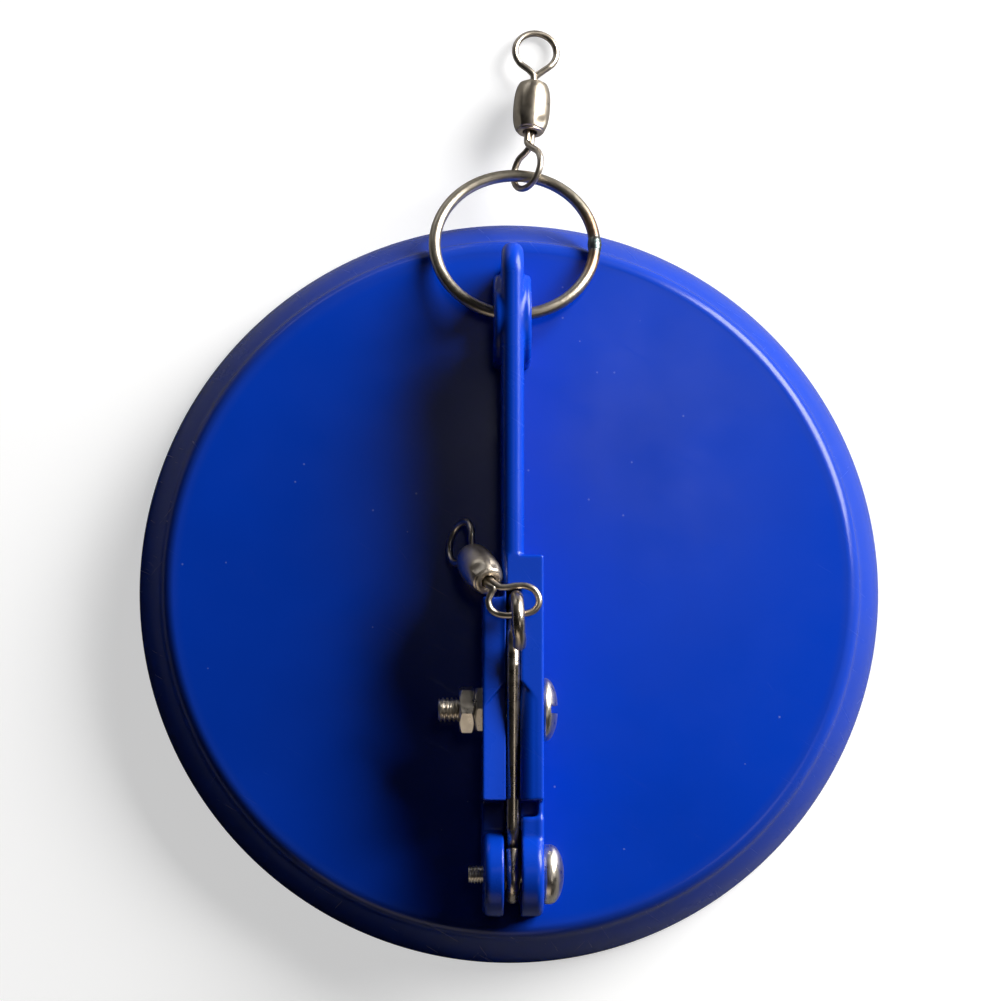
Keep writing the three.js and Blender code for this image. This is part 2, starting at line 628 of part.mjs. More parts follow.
// ---- assembly ----
addNode(part, "disc", dish(), BLUE, 0.3, 0);
addNode(part, "keel_fin", keel(), BLUE, 0.35, 0);
addNode(part, "pivot_screw", pivotScrew(), STEEL, 0.25, 1);
addNode(part, "pivot_bush", bush(), NICKEL, 0.4, 1);
addNode(part, "trip_arm", tripArm(), STEEL, 0.3, 1);
addNode(part, "tension_screw", tensionScrew(), STEEL, 0.25, 1);
addNode(part, "tension_nut", nut(NUT_OUT_X, NUT_IN_X), STEEL, 0.3, 1);
addNode(part, "lock_nut", nut(LOCK_OUT_X, LOCK_IN_X), STEEL, 0.3, 1);
addNode(part, "leader_ring", leaderRing(), STEEL, 0.3, 1);
addSwivel("line_swivel", LINE_MOUTH, LINE_ALONG, LINE_ACROSS, lineNearEye(), LINE_EYE_REACH);
addSwivel("leader_swivel", LEADER_MOUTH, LEADER_ALONG, LEADER_ACROSS, leaderNearEye(), LEADER_EYE_REACH);
addNode(part, "dial_plate", dialPlate(), BLUE, 0.4, 0);
addNode(part, "keel_weight", keelWeight(), LEAD, 0.6, 1);
addNode(part, "dial_washer", washer(), STEEL, 0.35, 1);
const dialHead = [DIAL_SCREW_HEAD_R, DIAL_SCREW_HEAD_TOP, DIAL_SCREW_HEAD_DEPTH];
addNode(part, "dial_screw", upScrew(DIAL_SCREW_R, ...dialHead, DIAL_SCREW_TOP, [0, 0]), STEEL, 0.3, 1);
[["left", -1], ["right", 1]].forEach(([side, sign]) => {
  const head = [WEIGHT_SCREW_HEAD_R, WEIGHT_SCREW_HEAD_TOP, WEIGHT_SCREW_HEAD_DEPTH];
  const at = [sign * WEIGHT_SCREW_X, WEIGHT_SCREW_Y];
  addNode(part, `weight_screw_${side}`, upScrew(WEIGHT_SCREW_R, ...head, WEIGHT_SCREW_TOP, at), STEEL, 0.3, 1);
});
[["front", KEEL_SCREW_FRONT_Y], ["rear", KEEL_SCREW_REAR_Y]].forEach(([end, y]) => {
  const head = [KEEL_SCREW_HEAD_R, INNER_Z, KEEL_SCREW_HEAD_DEPTH];
  addNode(part, `keel_screw_${end}`, upScrew(KEEL_SCREW_R, ...head, KEEL_SCREW_TOP, [0, y]), STEEL, 0.3, 1);
});

// The origin is on the ground, midway along the whole length.
part.updateMatrixWorld(true);
const extent = new THREE.Box3().setFromObject(part, true);
part.position.y = -(extent.min.y + extent.max.y) / 2;

export default part;
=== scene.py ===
import json
import math

import bmesh
import bpy
import numpy as np
from mathutils import Matrix, Vector


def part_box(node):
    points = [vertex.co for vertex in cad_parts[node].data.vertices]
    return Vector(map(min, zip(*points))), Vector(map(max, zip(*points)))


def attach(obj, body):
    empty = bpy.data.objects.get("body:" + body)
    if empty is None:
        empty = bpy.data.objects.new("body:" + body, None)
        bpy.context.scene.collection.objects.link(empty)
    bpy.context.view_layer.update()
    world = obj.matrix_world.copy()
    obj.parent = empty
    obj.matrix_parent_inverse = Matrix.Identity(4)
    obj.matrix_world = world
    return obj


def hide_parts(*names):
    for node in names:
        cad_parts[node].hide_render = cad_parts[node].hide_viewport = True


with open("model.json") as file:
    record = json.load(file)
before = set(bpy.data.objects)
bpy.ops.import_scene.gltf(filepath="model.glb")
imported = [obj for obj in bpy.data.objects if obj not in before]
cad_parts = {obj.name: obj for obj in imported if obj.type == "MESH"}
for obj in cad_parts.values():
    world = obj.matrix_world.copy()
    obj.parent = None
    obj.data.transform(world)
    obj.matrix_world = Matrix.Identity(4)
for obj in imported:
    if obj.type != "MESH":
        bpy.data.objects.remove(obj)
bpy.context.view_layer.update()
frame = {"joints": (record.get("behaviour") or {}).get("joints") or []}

# Shapes are worked out in millimetres, in the row frame, and made in metres.
MM = 0.001
X_AXIS = Vector((1, 0, 0))
Z_AXIS = Vector((0, 0, 1))


def corners(node):
    """A CAD node's lowest and highest corner, in millimetres."""
    return tuple(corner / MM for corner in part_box(node))


def joint_place(name):
    """A joint's point in millimetres and its axis."""
    found = next(joint for joint in frame["joints"] if joint["name"] == name)
    return Vector(found["pos_m"]) / MM, Vector(found["axis"]).normalized()


DISH_LOW, DISH_HIGH = corners("disc")
CENTRE = (DISH_LOW + DISH_HIGH) / 2
DISH_R = (DISH_HIGH.x - DISH_LOW.x) / 2
FACE_Z = DISH_HIGH.z
WALL = 2.5
INNER_Z = FACE_Z - WALL


# ---- camera, floor and lights ----
def make_camera():
    """Looks almost straight down at the dish from a little in front of it and to its left."""
    eye = Vector((CENTRE.x - 17, CENTRE.y - 48, 748)) * MM
    target = Vector((CENTRE.x - 1.5, CENTRE.y + 15.4, 0)) * MM
    forward = (target - eye).normalized()
    right = forward.cross(Vector((0, 1, 0))).normalized()
    up = right.cross(forward)
    data = bpy.data.cameras.new("camera")
    data.sensor_width = 36
    data.lens = 160.5
    data.clip_start = 0.01
    data.clip_end = 20
    camera = bpy.data.objects.new("camera", data)
    rows = Matrix((right, up, -forward)).transposed()
    camera.matrix_world = Matrix.Translation(eye) @ rows.to_4x4()
    bpy.context.scene.collection.objects.link(camera)
    bpy.context.scene.camera = camera


def area_light(name, place, aim, size, power, colour, only_shine=False):
    """A soft box. With only_shine it shows in glossy surfaces and lights nothing else."""
    data = bpy.data.lights.new(name, "AREA")
    data.shape = "RECTANGLE"
    data.size, data.size_y = size
    data.energy = power
    data.color = colour
    light = bpy.data.objects.new(name, data)
    light.location = place
    light.rotation_mode = "QUATERNION"
    light.rotation_quaternion = (Vector(aim) - Vector(place)).to_track_quat("-Z", "Y")
    light.visible_diffuse = not only_shine
    bpy.context.scene.collection.objects.link(light)


def make_lights():
    middle = CENTRE * MM
    area_light("key", (0.62, 0.44, 0.335), middle, (0.60, 0.56), 21.2, (1.0, 0.99, 0.97))
    area_light("overhead", (0.100, 0.150, 1.0), middle, (0.12, 0.18), 0.13, (0.97, 0.98, 1.0))
    area_light("back", (-0.40, 0.82, 0.16), middle, (0.5, 0.2), 0.5, (0.95, 0.97, 1.0))
    area_light("front", (-0.15, -0.60, 0.22), middle, (0.5, 0.3), 0.42, (1.0, 0.88, 0.72), only_shine=True)
    area_light("side", (0.40, -0.30, 0.85), middle, (0.22, 0.30), 0.34, (1.0, 0.95, 0.88), only_shine=True)
    world = bpy.data.worlds.new("studio")
    world.use_nodes = True
    background = world.node_tree.nodes["Background"]
    background.inputs["Color"].default_value = (0.80, 0.86, 1.0, 1)
    background.inputs["Strength"].default_value = 0.006
    bpy.context.scene.world = world
    bpy.context.scene.view_settings.view_transform = "Standard"


# ---- shader graphs ----
class Graph:
    """A small shader graph: a Principled surface and the nodes that feed it."""

    def __init__(self, name):
        self.material = bpy.data.materials.new(name)
        self.material.use_nodes = True
        self.tree = self.material.node_tree
        self.tree.nodes.clear()
        self.shader = self.tree.nodes.new("ShaderNodeBsdfPrincipled")
        output = self.tree.nodes.new("ShaderNodeOutputMaterial")
        self.tree.links.new(self.shader.outputs["BSDF"], output.inputs["Surface"])
        place = self.tree.nodes.new("ShaderNodeTexCoord")
        self.place = place.outputs["Object"]

    def link(self, source, socket):
        self.tree.links.new(source, socket)

    def feed(self, key, value):
        """Drives one of the surface's inputs from another node."""
        self.link(value, self.shader.inputs[key])

    def set(self, **values):
        """Sets the surface's plain inputs."""
        for key, value in values.items():
            self.shader.inputs[key.replace("_", " ")].default_value = value

    def stretched(self, scale, turn=(0, 0, 0)):
        """The place on the object, turned and then scaled along each axis."""
        turned = self.tree.nodes.new("ShaderNodeMapping")
        turned.inputs["Rotation"].default_value = turn
        self.link(self.place, turned.inputs["Vector"])
        scaled = self.tree.nodes.new("ShaderNodeMapping")
        scaled.inputs["Scale"].default_value = scale
        self.link(turned.outputs["Vector"], scaled.inputs["Vector"])
        return scaled.outputs["Vector"]

    def noise(self, scale, detail=2.0, rough=0.5, where=None):
        node = self.tree.nodes.new("ShaderNodeTexNoise")
        node.inputs["Scale"].default_value = scale
        node.inputs["Detail"].default_value = detail
        node.inputs["Roughness"].default_value = rough
        self.link(where or self.place, node.inputs["Vector"])
        return node.outputs["Fac"]

    def ranged(self, value, low, high, to_low, to_high):
        """A value between low and high, carried over to between to_low and to_high."""
        node = self.tree.nodes.new("ShaderNodeMapRange")
        for key, number in zip(("From Min", "From Max", "To Min", "To Max"), (low, high, to_low, to_high)):
            node.inputs[key].default_value = number
        self.link(value, node.inputs["Value"])
        return node.outputs["Result"]

    def math(self, kind, a, b=None):
        node = self.tree.nodes.new("ShaderNodeMath")
        node.operation = kind
        for socket, value in zip(node.inputs, (a, b)):
            if value is None:
                continue
            if isinstance(value, (int, float)):
                socket.default_value = value
            else:
                self.link(value, socket)
        return node.outputs["Value"]

    def mix(self, factor, a, b):
        """Colour a where the factor is 0, and colour b where it is 1."""
        node = self.tree.nodes.new("ShaderNodeMix")
        node.data_type = "RGBA"
        self.link(factor, node.inputs["Factor"])
        for key, value in (("A", a), ("B", b)):
            socket = next(s for s in node.inputs if s.name == key and s.type == "RGBA")
            if isinstance(value, tuple):
                socket.default_value = (*value, 1)
            else:
                self.link(value, socket)
        return next(s for s in node.outputs if s.type == "RGBA")

    def bump(self, height, strength, distance):
        node = self.tree.nodes.new("ShaderNodeBump")
        node.inputs["Strength"].default_value = strength
        node.inputs["Distance"].default_value = distance
        self.link(height, node.inputs["Height"])
        return node.outputs["Normal"]

    def distance(self, place, point):
        node = self.tree.nodes.new("ShaderNodeVectorMath")
        node.operation = "DISTANCE"
        self.link(place, node.inputs[0])
        node.inputs[1].default_value = point
        return node.outputs["Value"]

    def specks(self, scale, size, share):
        """1 inside small round specks, of which only a share is kept, and 0 elsewhere."""
        node = self.tree.nodes.new("ShaderNodeTexVoronoi")
        node.inputs["Scale"].default_value = scale
        self.link(self.place, node.inputs["Vector"])
        inside = self.math("LESS_THAN", node.outputs["Distance"], size)
        split = self.tree.nodes.new("ShaderNodeSeparateColor")
        self.link(node.outputs["Color"], split.inputs["Color"])
        chosen = self.math("LESS_THAN", split.outputs["Red"], share)
        return self.math("MULTIPLY", inside, chosen)


# The scratches' directions in radians, each with how rare its scratches are.
SCRATCHES = ((0.55, 0.64), (0.95, 0.66), (-0.8, 0.68))
DUST = (0.30, 0.36, 0.60)
# The rim's painted sheen and shade starts this far in from the dish's edge, and is at its full this far in.
RIM_SHEEN_START, RIM_SHEEN_FULL = 7.4, 5.2


def hairlines(graph, turn, rarity):
    """Sparse long fine scratches running one way."""
    lines = graph.noise(60, 4, 0.6, graph.stretched((1, 40, 1), (0, 0, turn)))
    return graph.ranged(lines, rarity, rarity + 0.08, 0, 1)


def scratched(graph):
    """All the scratches together, 1 where one runs and 0 elsewhere."""
    marks = [hairlines(graph, turn, rarity) for turn, rarity in SCRATCHES]
    found = marks[0]
    for more in marks[1:]:
        found = graph.math("MAXIMUM", found, more)
    return found


def rim_sheen_mask(graph):
    """1 on the dish's outer corner and wall, fading to 0 on its face: the band where a greyer, darker blue
    is painted on as sheen and shade.
    """
    middle = Vector((CENTRE.x, CENTRE.y, 0)) * MM
    reach = graph.distance(graph.stretched((1, 1, 0)), middle)
    edge_band = graph.ranged(reach, (DISH_R - RIM_SHEEN_START) * MM, (DISH_R - RIM_SHEEN_FULL) * MM, 0, 1)
    return graph.math("MULTIPLY", edge_band, graph.ranged(graph.noise(60, 5, 0.65), 0.3, 0.6, 0.55, 1))


def plastic(name, colour, roughness, wear, rim_sheen_colour=None):
    """Moulded plastic with faint scratches, smudges and dust. Its rim may be tinted another colour, a
    painted sheen and shade for how the light falls on it.
    """
    graph = Graph(name)
    deep = tuple(c * 0.86 for c in colour)
    faded = tuple(c * 0.9 + 0.012 for c in colour)
    tone = graph.ranged(graph.noise(28, 3), 0.35, 0.65, 0, 1)
    body = graph.mix(tone, deep, colour)
    scratches = scratched(graph)
    smudge = graph.ranged(graph.noise(34, 7, 0.7), 0.52, 0.75, 0, 0.6)
    dust = graph.specks(700, 0.12, 0.02)
    marks = graph.math("MULTIPLY", graph.math("ADD", scratches, smudge), wear)
    hazed = graph.mix(graph.math("MULTIPLY", marks, 0.25), body, faded)
    polish = graph.ranged(graph.noise(90, 4), 0.3, 0.7, roughness - 0.03, roughness + 0.04)
    rough = graph.math("ADD", polish, marks)
    # Painted sheen and shade: the rim is tinted a greyer, darker blue for how the light falls on it, and
    # made a little rougher.
    if rim_sheen_colour:
        rim_sheen = rim_sheen_mask(graph)
        hazed = graph.mix(rim_sheen, hazed, rim_sheen_colour)
        rough = graph.math("ADD", rough, graph.math("MULTIPLY", rim_sheen, 0.05))
    graph.feed("Base Color", graph.mix(graph.math("MULTIPLY", dust, 0.25), hazed, DUST))
    graph.feed("Roughness", rough)
    skin = graph.noise(1400, 2)
    relief = graph.math("ADD", skin, graph.math("MULTIPLY", scratches, -0.6))
    relief = graph.math("ADD", relief, graph.math("MULTIPLY", dust, 1.2))
    graph.feed("Normal", graph.bump(relief, 0.2, 0.02 * MM))
    graph.set(IOR=1.5, Specular_IOR_Level=0.28)
    return graph.material


def metal(name, light, dark, roughness, grain=900, relief=0.12):
    """Bare metal, mottled between two tones, with a fine grain and small pits."""
    graph = Graph(name)
    tone = graph.ranged(graph.noise(160, 4, 0.6), 0.3, 0.7, 0, 1)
    graph.feed("Base Color", graph.mix(tone, dark, light))
    lines = graph.noise(grain, 3, 0.6)
    graph.feed("Roughness", graph.ranged(lines, 0.25, 0.75, roughness - 0.06, roughness + 0.10))
    pits = graph.math("ADD", lines, graph.math("MULTIPLY", graph.specks(1400, 0.16, 0.04), -0.3))
    graph.feed("Normal", graph.bump(pits, relief, 0.01 * MM))
    graph.set(Metallic=1.0)
    return graph.material


def ring_metal(name, light, dark, weld_at):
    """Stainless wire with straw, brown and grey heat tints either side of the weld."""
    graph = Graph(name)
    tone = graph.ranged(graph.noise(200, 4, 0.6), 0.3, 0.7, 0, 1)
    shown = graph.mix(tone, dark, light)
    wobble = graph.math("MULTIPLY", graph.math("SUBTRACT", graph.noise(300, 2), 0.5), 3 * MM)
    far = graph.math("ADD", graph.distance(graph.place, weld_at * MM), wobble)
    # Each tint: how far from the weld it starts and is at its full, how strong it is, and its colour.
    for start, full, strength, tint in (
        (7.5, 4.8, 0.7, (0.36, 0.18, 0.08)),
        (4.2, 2.6, 0.8, (0.15, 0.10, 0.08)),
        (2.1, 1.2, 0.95, (0.13, 0.17, 0.17)),
    ):
        shown = graph.mix(graph.ranged(far, start * MM, full * MM, 0, strength), shown, tint)
    graph.feed("Base Color", shown)
    lines = graph.noise(1500, 3, 0.6)
    graph.feed("Roughness", graph.ranged(lines, 0.25, 0.75, 0.30, 0.42))
    graph.feed("Normal", graph.bump(lines, 0.10, 0.01 * MM))
    graph.set(Metallic=1.0)
    return graph.material


def floor_paint():
    """A pale floor, lit a little from within so that shadows on it stay light, and dull in reflections."""
    graph = Graph("floor_paint")
    tone = graph.ranged(graph.noise(6, 2), 0.3, 0.7, 0, 1)
    graph.feed("Base Color", graph.mix(tone, (0.49, 0.49, 0.50), (0.51, 0.51, 0.51)))
    graph.set(Roughness=0.7, Emission_Color=(1, 1, 1, 1), Emission_Strength=0.55)
    rays = graph.tree.nodes.new("ShaderNodeLightPath")
    matt = graph.tree.nodes.new("ShaderNodeBsdfDiffuse")
    shade = graph.mix(rays.outputs["Is Diffuse Ray"], (0.24, 0.24, 0.24), (0.45, 0.45, 0.45))
    graph.link(shade, matt.inputs["Color"])
    both = graph.tree.nodes.new("ShaderNodeMixShader")
    graph.link(rays.outputs["Is Camera Ray"], both.inputs["Fac"])
    graph.link(matt.outputs["BSDF"], both.inputs[1])
    graph.link(graph.shader.outputs["BSDF"], both.inputs[2])
    output = next(node for node in graph.tree.nodes if node.type == "OUTPUT_MATERIAL")
    graph.link(both.outputs["Shader"], output.inputs["Surface"])
    return graph.material


# ---- mesh tools ----
def show(name, mesh):
    """A mesh as an object in the scene."""
    made = bpy.data.objects.new(name, mesh)
    bpy.context.scene.collection.objects.link(made)
    return made


def finish_mesh(name, verts, faces, sharp_deg):
    """An object from points in millimetres, smooth except at edges sharper than an angle."""
    mesh = bpy.data.meshes.new(name)
    mesh.from_pydata([tuple(v) for v in verts], [], [tuple(f) for f in faces])
    mesh.transform(Matrix.Scale(MM, 4))
    shape = bmesh.new()
    shape.from_mesh(mesh)
    bmesh.ops.remove_doubles(shape, verts=shape.verts, dist=1e-7)
    bmesh.ops.recalc_face_normals(shape, faces=shape.faces)
    shape.to_mesh(mesh)
    shape.free()
    mesh.shade_smooth()
    mesh.set_sharp_from_angle(angle=math.radians(sharp_deg))
    return show(name, mesh)


def combine(*parts):
    """Several (verts, faces) lists as one."""
    verts, faces = [], []
    for some_verts, some_faces in parts:
        base = len(verts)
        verts.extend(some_verts)
        faces.extend([tuple(i + base for i in face) for face in some_faces])
    return verts, faces


def dress(made, body, nodes, material):
    """The object takes the place of CAD nodes on a body, in its own material."""
    made.data.materials.clear()
    made.data.materials.append(material)
    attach(made, body)
    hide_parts(*nodes)


def settle(made):
    """Makes the object's modifiers part of its mesh."""
    graph = bpy.context.evaluated_depsgraph_get()
    mesh = bpy.data.meshes.new_from_object(made.evaluated_get(graph))
    made.modifiers.clear()
    old = made.data
    made.data = mesh
    bpy.data.meshes.remove(old)
    mesh.shade_smooth()
    mesh.set_sharp_from_angle(angle=math.radians(32))


def carve(made, cutter):
    """Cuts one object from another and removes the cutter."""
    modifier = made.modifiers.new("cut", "BOOLEAN")
    modifier.operation = "DIFFERENCE"
    modifier.solver = "EXACT"
    modifier.object = cutter
    settle(made)
    bpy.data.objects.remove(cutter)


def edge_bevel(made, width, segments=2):
    modifier = made.modifiers.new("edges", "BEVEL")
    modifier.width = width * MM
    modifier.segments = segments
    modifier.limit_method = "ANGLE"
    modifier.angle_limit = math.radians(40)
    settle(made)


def axis_frame(at, along, across=None):
    """A matrix whose local Z runs along a direction, with local X as near to across as it can be."""
    w = Vector(along).normalized()
    hint = Vector(across) if across else (X_AXIS if abs(w.x) < 0.9 else Z_AXIS)
    u = (hint - w * hint.dot(w)).normalized()
    rows = Matrix((u, w.cross(u), w)).transposed()
    return Matrix.Translation(at) @ rows.to_4x4()


def revolve(profile, segments, place, closed=False, shape=None):
    """Turns (radius, height) points about local Z. shape(radius, height, angle) may change a radius."""
    verts, faces, rings = [], [], []
    for radius, height in profile:
        ring = []
        if radius < 1e-6:
            verts.append(place @ Vector((0, 0, height)))
            ring = [len(verts) - 1] * segments
        else:
            for i in range(segments):
                angle = 2 * math.pi * i / segments
                r = shape(radius, height, angle) if shape else radius
                verts.append(place @ Vector((r * math.cos(angle), r * math.sin(angle), height)))
                ring.append(len(verts) - 1)
        rings.append(ring)
    if closed:
        rings.append(rings[0])
    for low, high in zip(rings, rings[1:]):
        for i in range(segments):
            j = (i + 1) % segments
            corner = [low[i], low[j], high[j], high[i]]
            face = [v for k, v in enumerate(corner) if v not in corner[:k]]
            if len(face) > 2:
                faces.append(face)
    return verts, faces


def arc(centre, radius, start, end, steps):
    """Points (x, y) on an arc, angles in degrees."""
    angles = [math.radians(start + (end - start) * i / steps) for i in range(steps + 1)]
    return [(centre[0] + radius * math.cos(a), centre[1] + radius * math.sin(a)) for a in angles]


def smooth_path(points, per_span, closed=False):
    """A Catmull-Rom curve through the points."""
    points = [Vector(p) for p in points]
    count = len(points)
    spans = count if closed else count - 1
    path = []
    for i in range(spans):
        if closed:
            p0, p1, p2, p3 = (points[(i + k - 1) % count] for k in range(4))
        else:
            p0, p1, p2, p3 = (points[min(max(i + k - 1, 0), count - 1)] for k in range(4))
        for step in range(per_span):
            t = step / per_span
            path.append(0.5 * (2 * p1 + (p2 - p0) * t + (2 * p0 - 5 * p1 + 4 * p2 - p3) * t * t
                               + (3 * p1 - p0 - 3 * p2 + p3) * t ** 3))
    if not closed:
        path.append(points[-1])
    return path


def sweep(path, radius, sides=20, closed=False, blunt=0.12):
    """A round wire along a path. Open ends are cut square, with a small worn edge."""
    count = len(path)
    tangents = []
    for i in range(count):
        after = path[(i + 1) % count] if closed else path[min(i + 1, count - 1)]
        before = path[i - 1] if closed or i else path[0]
        tangents.append((after - before).normalized())
    normal = tangents[0].orthogonal().normalized()
    normals = [normal]
    for a, b in zip(tangents, tangents[1:]):
        normal = a.rotation_difference(b) @ normal
        normals.append((normal - b * normal.dot(b)).normalized())
    twist = 0.0
    if closed:
        back = tangents[-1].rotation_difference(tangents[0]) @ normals[-1]
        twist = math.atan2(back.cross(normals[0]).dot(tangents[0]), back.dot(normals[0]))
    verts, faces, rings = [], [], []

    def ring(at, tangent, out, size, turn):
        across = tangent.cross(out)
        start = len(verts)
        for k in range(sides):
            a = 2 * math.pi * k / sides + turn
            verts.append(at + (out * math.cos(a) + across * math.sin(a)) * size)
        rings.append(list(range(start, start + sides)))

    if not closed:
        ring(path[0], tangents[0], normals[0], radius - blunt, 0)
    for i in range(count):
        slide = 0 if closed else (blunt if i == 0 else -blunt if i == count - 1 else 0)
        ring(path[i] + tangents[i] * slide, tangents[i], normals[i], radius, twist * i / count)
    if not closed:
        ring(path[-1], tangents[-1], normals[-1], radius - blunt, 0)
    pairs = list(zip(rings, rings[1:])) + ([(rings[-1], rings[0])] if closed else [])
    for low, high in pairs:
        for k in range(sides):
            j = (k + 1) % sides
            faces.append((low[k], low[j], high[j], high[k]))
    if not closed:
        faces.append(tuple(reversed(rings[0])))
        faces.append(tuple(rings[-1]))
    return verts, faces


def box_mesh(low, high):
    """A box between two corners."""
    xs, ys, zs = zip(low, high)
    verts = [Vector((x, y, z)) for x in xs for y in ys for z in zs]
    faces = [(0, 1, 3, 2), (4, 6, 7, 5), (0, 4, 5, 1), (2, 3, 7, 6), (0, 2, 6, 4), (1, 5, 7, 3)]
    return verts, faces


# ---- dish ----
FACE_R = 55.7
CORNER_R = 2.3
INNER_ROUND = 2.2
FOOT_IN = DISH_R - WALL
LIP_R = 0.6
WALL_BOW = 0.45
HUB_R = 8.2
HUB_Z = INNER_Z - 1.5
PIP_CIRCLE = 29
PIP_STEP = math.radians(22.5)


def dish_profile():
    """From the middle of the underside, out round the rim and back to the middle of the face."""
    hub = [(0, HUB_Z), (HUB_R - 0.6, HUB_Z), (HUB_R - 0.3, HUB_Z + 0.2), (HUB_R, INNER_Z)]
    under = arc((FACE_R - INNER_ROUND, INNER_Z - INNER_ROUND), INNER_ROUND, 90, 25, 8)
    foot = [(FOOT_IN - 0.5, 2.4), (FOOT_IN, 0.35), (FOOT_IN + 0.35, 0)]
    lip = arc((DISH_R - LIP_R, LIP_R), LIP_R, -90, 0, 6)
    low, high = Vector((DISH_R, LIP_R)), Vector((FACE_R + CORNER_R, FACE_Z - CORNER_R))
    wall = []
    for i in range(1, 16):
        point = low.lerp(high, i / 16)
        bow = WALL_BOW * math.sin(math.pi * i / 16)
        wall.append((min(point.x + bow, DISH_R), point.y + bow * 0.45))
    corner = arc((FACE_R, FACE_Z - CORNER_R), CORNER_R, 8, 90, 14)
    return [*hub, *under, *foot, *lip, *wall, *corner, (30, FACE_Z), (0, FACE_Z)]


def make_dish(material):
    place = Matrix.Translation((CENTRE.x, CENTRE.y, 0))
    parts = [revolve(dish_profile(), 240, place)]
    # Pips on the underside that the dial's pointer is set against.
    root = INNER_Z + 0.3
    pip = [(0, INNER_Z - 0.6), (0.5, INNER_Z - 0.53), (0.8, INNER_Z - 0.3), (0.9, root), (0, root)]
    for step in range(-2, 3):
        angle = math.pi / 2 + PIP_STEP * step
        out = Vector((math.cos(angle), math.sin(angle), 0)) * PIP_CIRCLE
        parts.append(revolve(pip, 20, place @ Matrix.Translation(out)))
    made = finish_mesh("dish_shell", *combine(*parts), 40)
    dress(made, "dish", ["disc"], material)


# ---- keel, by a distance field ----
KEEL_LOW, KEEL_HIGH = corners("keel_fin")
FIN_TOP = KEEL_HIGH.z
PIVOT, _ = joint_place("arm_release")
TENSION, _ = joint_place("tension_turn")
RING_PIVOT, _ = joint_place("ring_swing")
FIN_HALF = 1.8
FIN_ROUND = 5.2
BOSS = Vector((0, RING_PIVOT.y - 1.1, RING_PIVOT.z + 1.7))
BOSS_R = 7.4
BOSS_HALF = 3.05
BORE_R = 3.6
JAW_HALF = 4.95
JAW_FRONT = PIVOT.y + 11.9
RIGHT_JAW_REAR = CENTRE.y + 4.3
LEFT_JAW_REAR = CENTRE.y - 2.5
LEFT_JAW_DROP = 0.6
LEFT_JAW_SLOPE = 0.26
SLOT_HALF = 1.15
SLOT_FRONT = JAW_FRONT - 9
SLOT_REAR = CENTRE.y - 0.9
SLOT_FLOOR = 15.5
POCKET_HALF = 3.6
POCKET_R = 3.0
POCKET_REAR = CENTRE.y - 16.1
TENSION_BORE_R = 2.15
NUT_HALF = 3.65
NUT_SEAT = -2.8
EAR_R = 6.8
EAR_REAR = PIVOT.y + 6.7
EAR_GAP_HALF = 1.4
EAR_LEFT = -4.8
EAR_RIGHT = 5.1
PIVOT_BORE_R = 1.7
STEP_TOP = 17.5
# Every part of the keel starts inside the dish's wall, and every slot is cut to well above the fin.
ROOT = 5
ABOVE = FIN_TOP + 9


def soft_join(a, b, k):
    """Both fields' solids as one, blended over a width k where they meet."""
    h = np.clip(0.5 + 0.5 * (b - a) / k, 0, 1)
    return b * (1 - h) + a * h - k * h * (1 - h)


def soft_cut(a, b, k):
    """The first field's solid less the second's, with the edge softened over k."""
    return -soft_join(-a, b, k)


def round_meet(a, b, r):
    """Where two half-spaces meet, with their edge rounded to a radius."""
    return np.minimum(-r, np.maximum(a, b)) + np.hypot(np.maximum(a + r, 0), np.maximum(b + r, 0))


def field_box(x, y, z, low, high, r):
    """A box between two corners, with edges of radius r."""
    halves = [(h - l) / 2 - r for l, h in zip(low, high)]
    middles = [(h + l) / 2 for l, h in zip(low, high)]
    q = [np.abs(v - m) - h for v, m, h in zip((x, y, z), middles, halves)]
    outside = np.sqrt(sum(np.maximum(part, 0) ** 2 for part in q))
    return outside + np.minimum(np.maximum(np.maximum(q[0], q[1]), q[2]), 0) - r


def field_bar(x, y, z, centre, radius, x0, x1, r):
    """A bar along X with rounded ends."""
    around = np.hypot(y - centre.y, z - centre.z) - radius
    along = np.abs(x - (x0 + x1) / 2) - (x1 - x0) / 2
    return round_meet(around, along, r)


def field_ear(x, y, z, x0, x1):
    """A round-topped ear about the pivot that runs down into the dish."""
    up = np.hypot(y - PIVOT.y, z - PIVOT.z) - EAR_R
    down = np.maximum(np.abs(y - PIVOT.y) - EAR_R, z - PIVOT.z)
    outline = np.minimum(up, down)
    inner, outer = (x0 - x, x - x1) if x1 > 0 else (x - x1, x0 - x)
    return round_meet(round_meet(outline, outer, 1.2), inner, 0.3)


def fin_field(x, y, z):
    """The fin, whose tail leans in below its rounded corner, with the boss round the ring's hole."""
    corner = FIN_TOP - FIN_ROUND
    tail = (y - KEEL_HIGH.y) * 0.972 - (z - corner) * 0.235 * (z < corner)
    side = round_meet(tail, z - FIN_TOP, FIN_ROUND)
    side = np.maximum(side, JAW_FRONT + 1 - y)
    body = round_meet(side, np.abs(x) - FIN_HALF, 1.7)
    boss = field_bar(x, y, z, BOSS, BOSS_R, -BOSS_HALF, BOSS_HALF, 0.8)
    foot_low = (-BOSS_HALF, BOSS.y - BOSS_R, ROOT)
    foot = field_box(x, y, z, foot_low, (BOSS_HALF, BOSS.y + BOSS_R, BOSS.z), 0.8)
    return soft_join(body, np.minimum(boss, foot), 0.6)


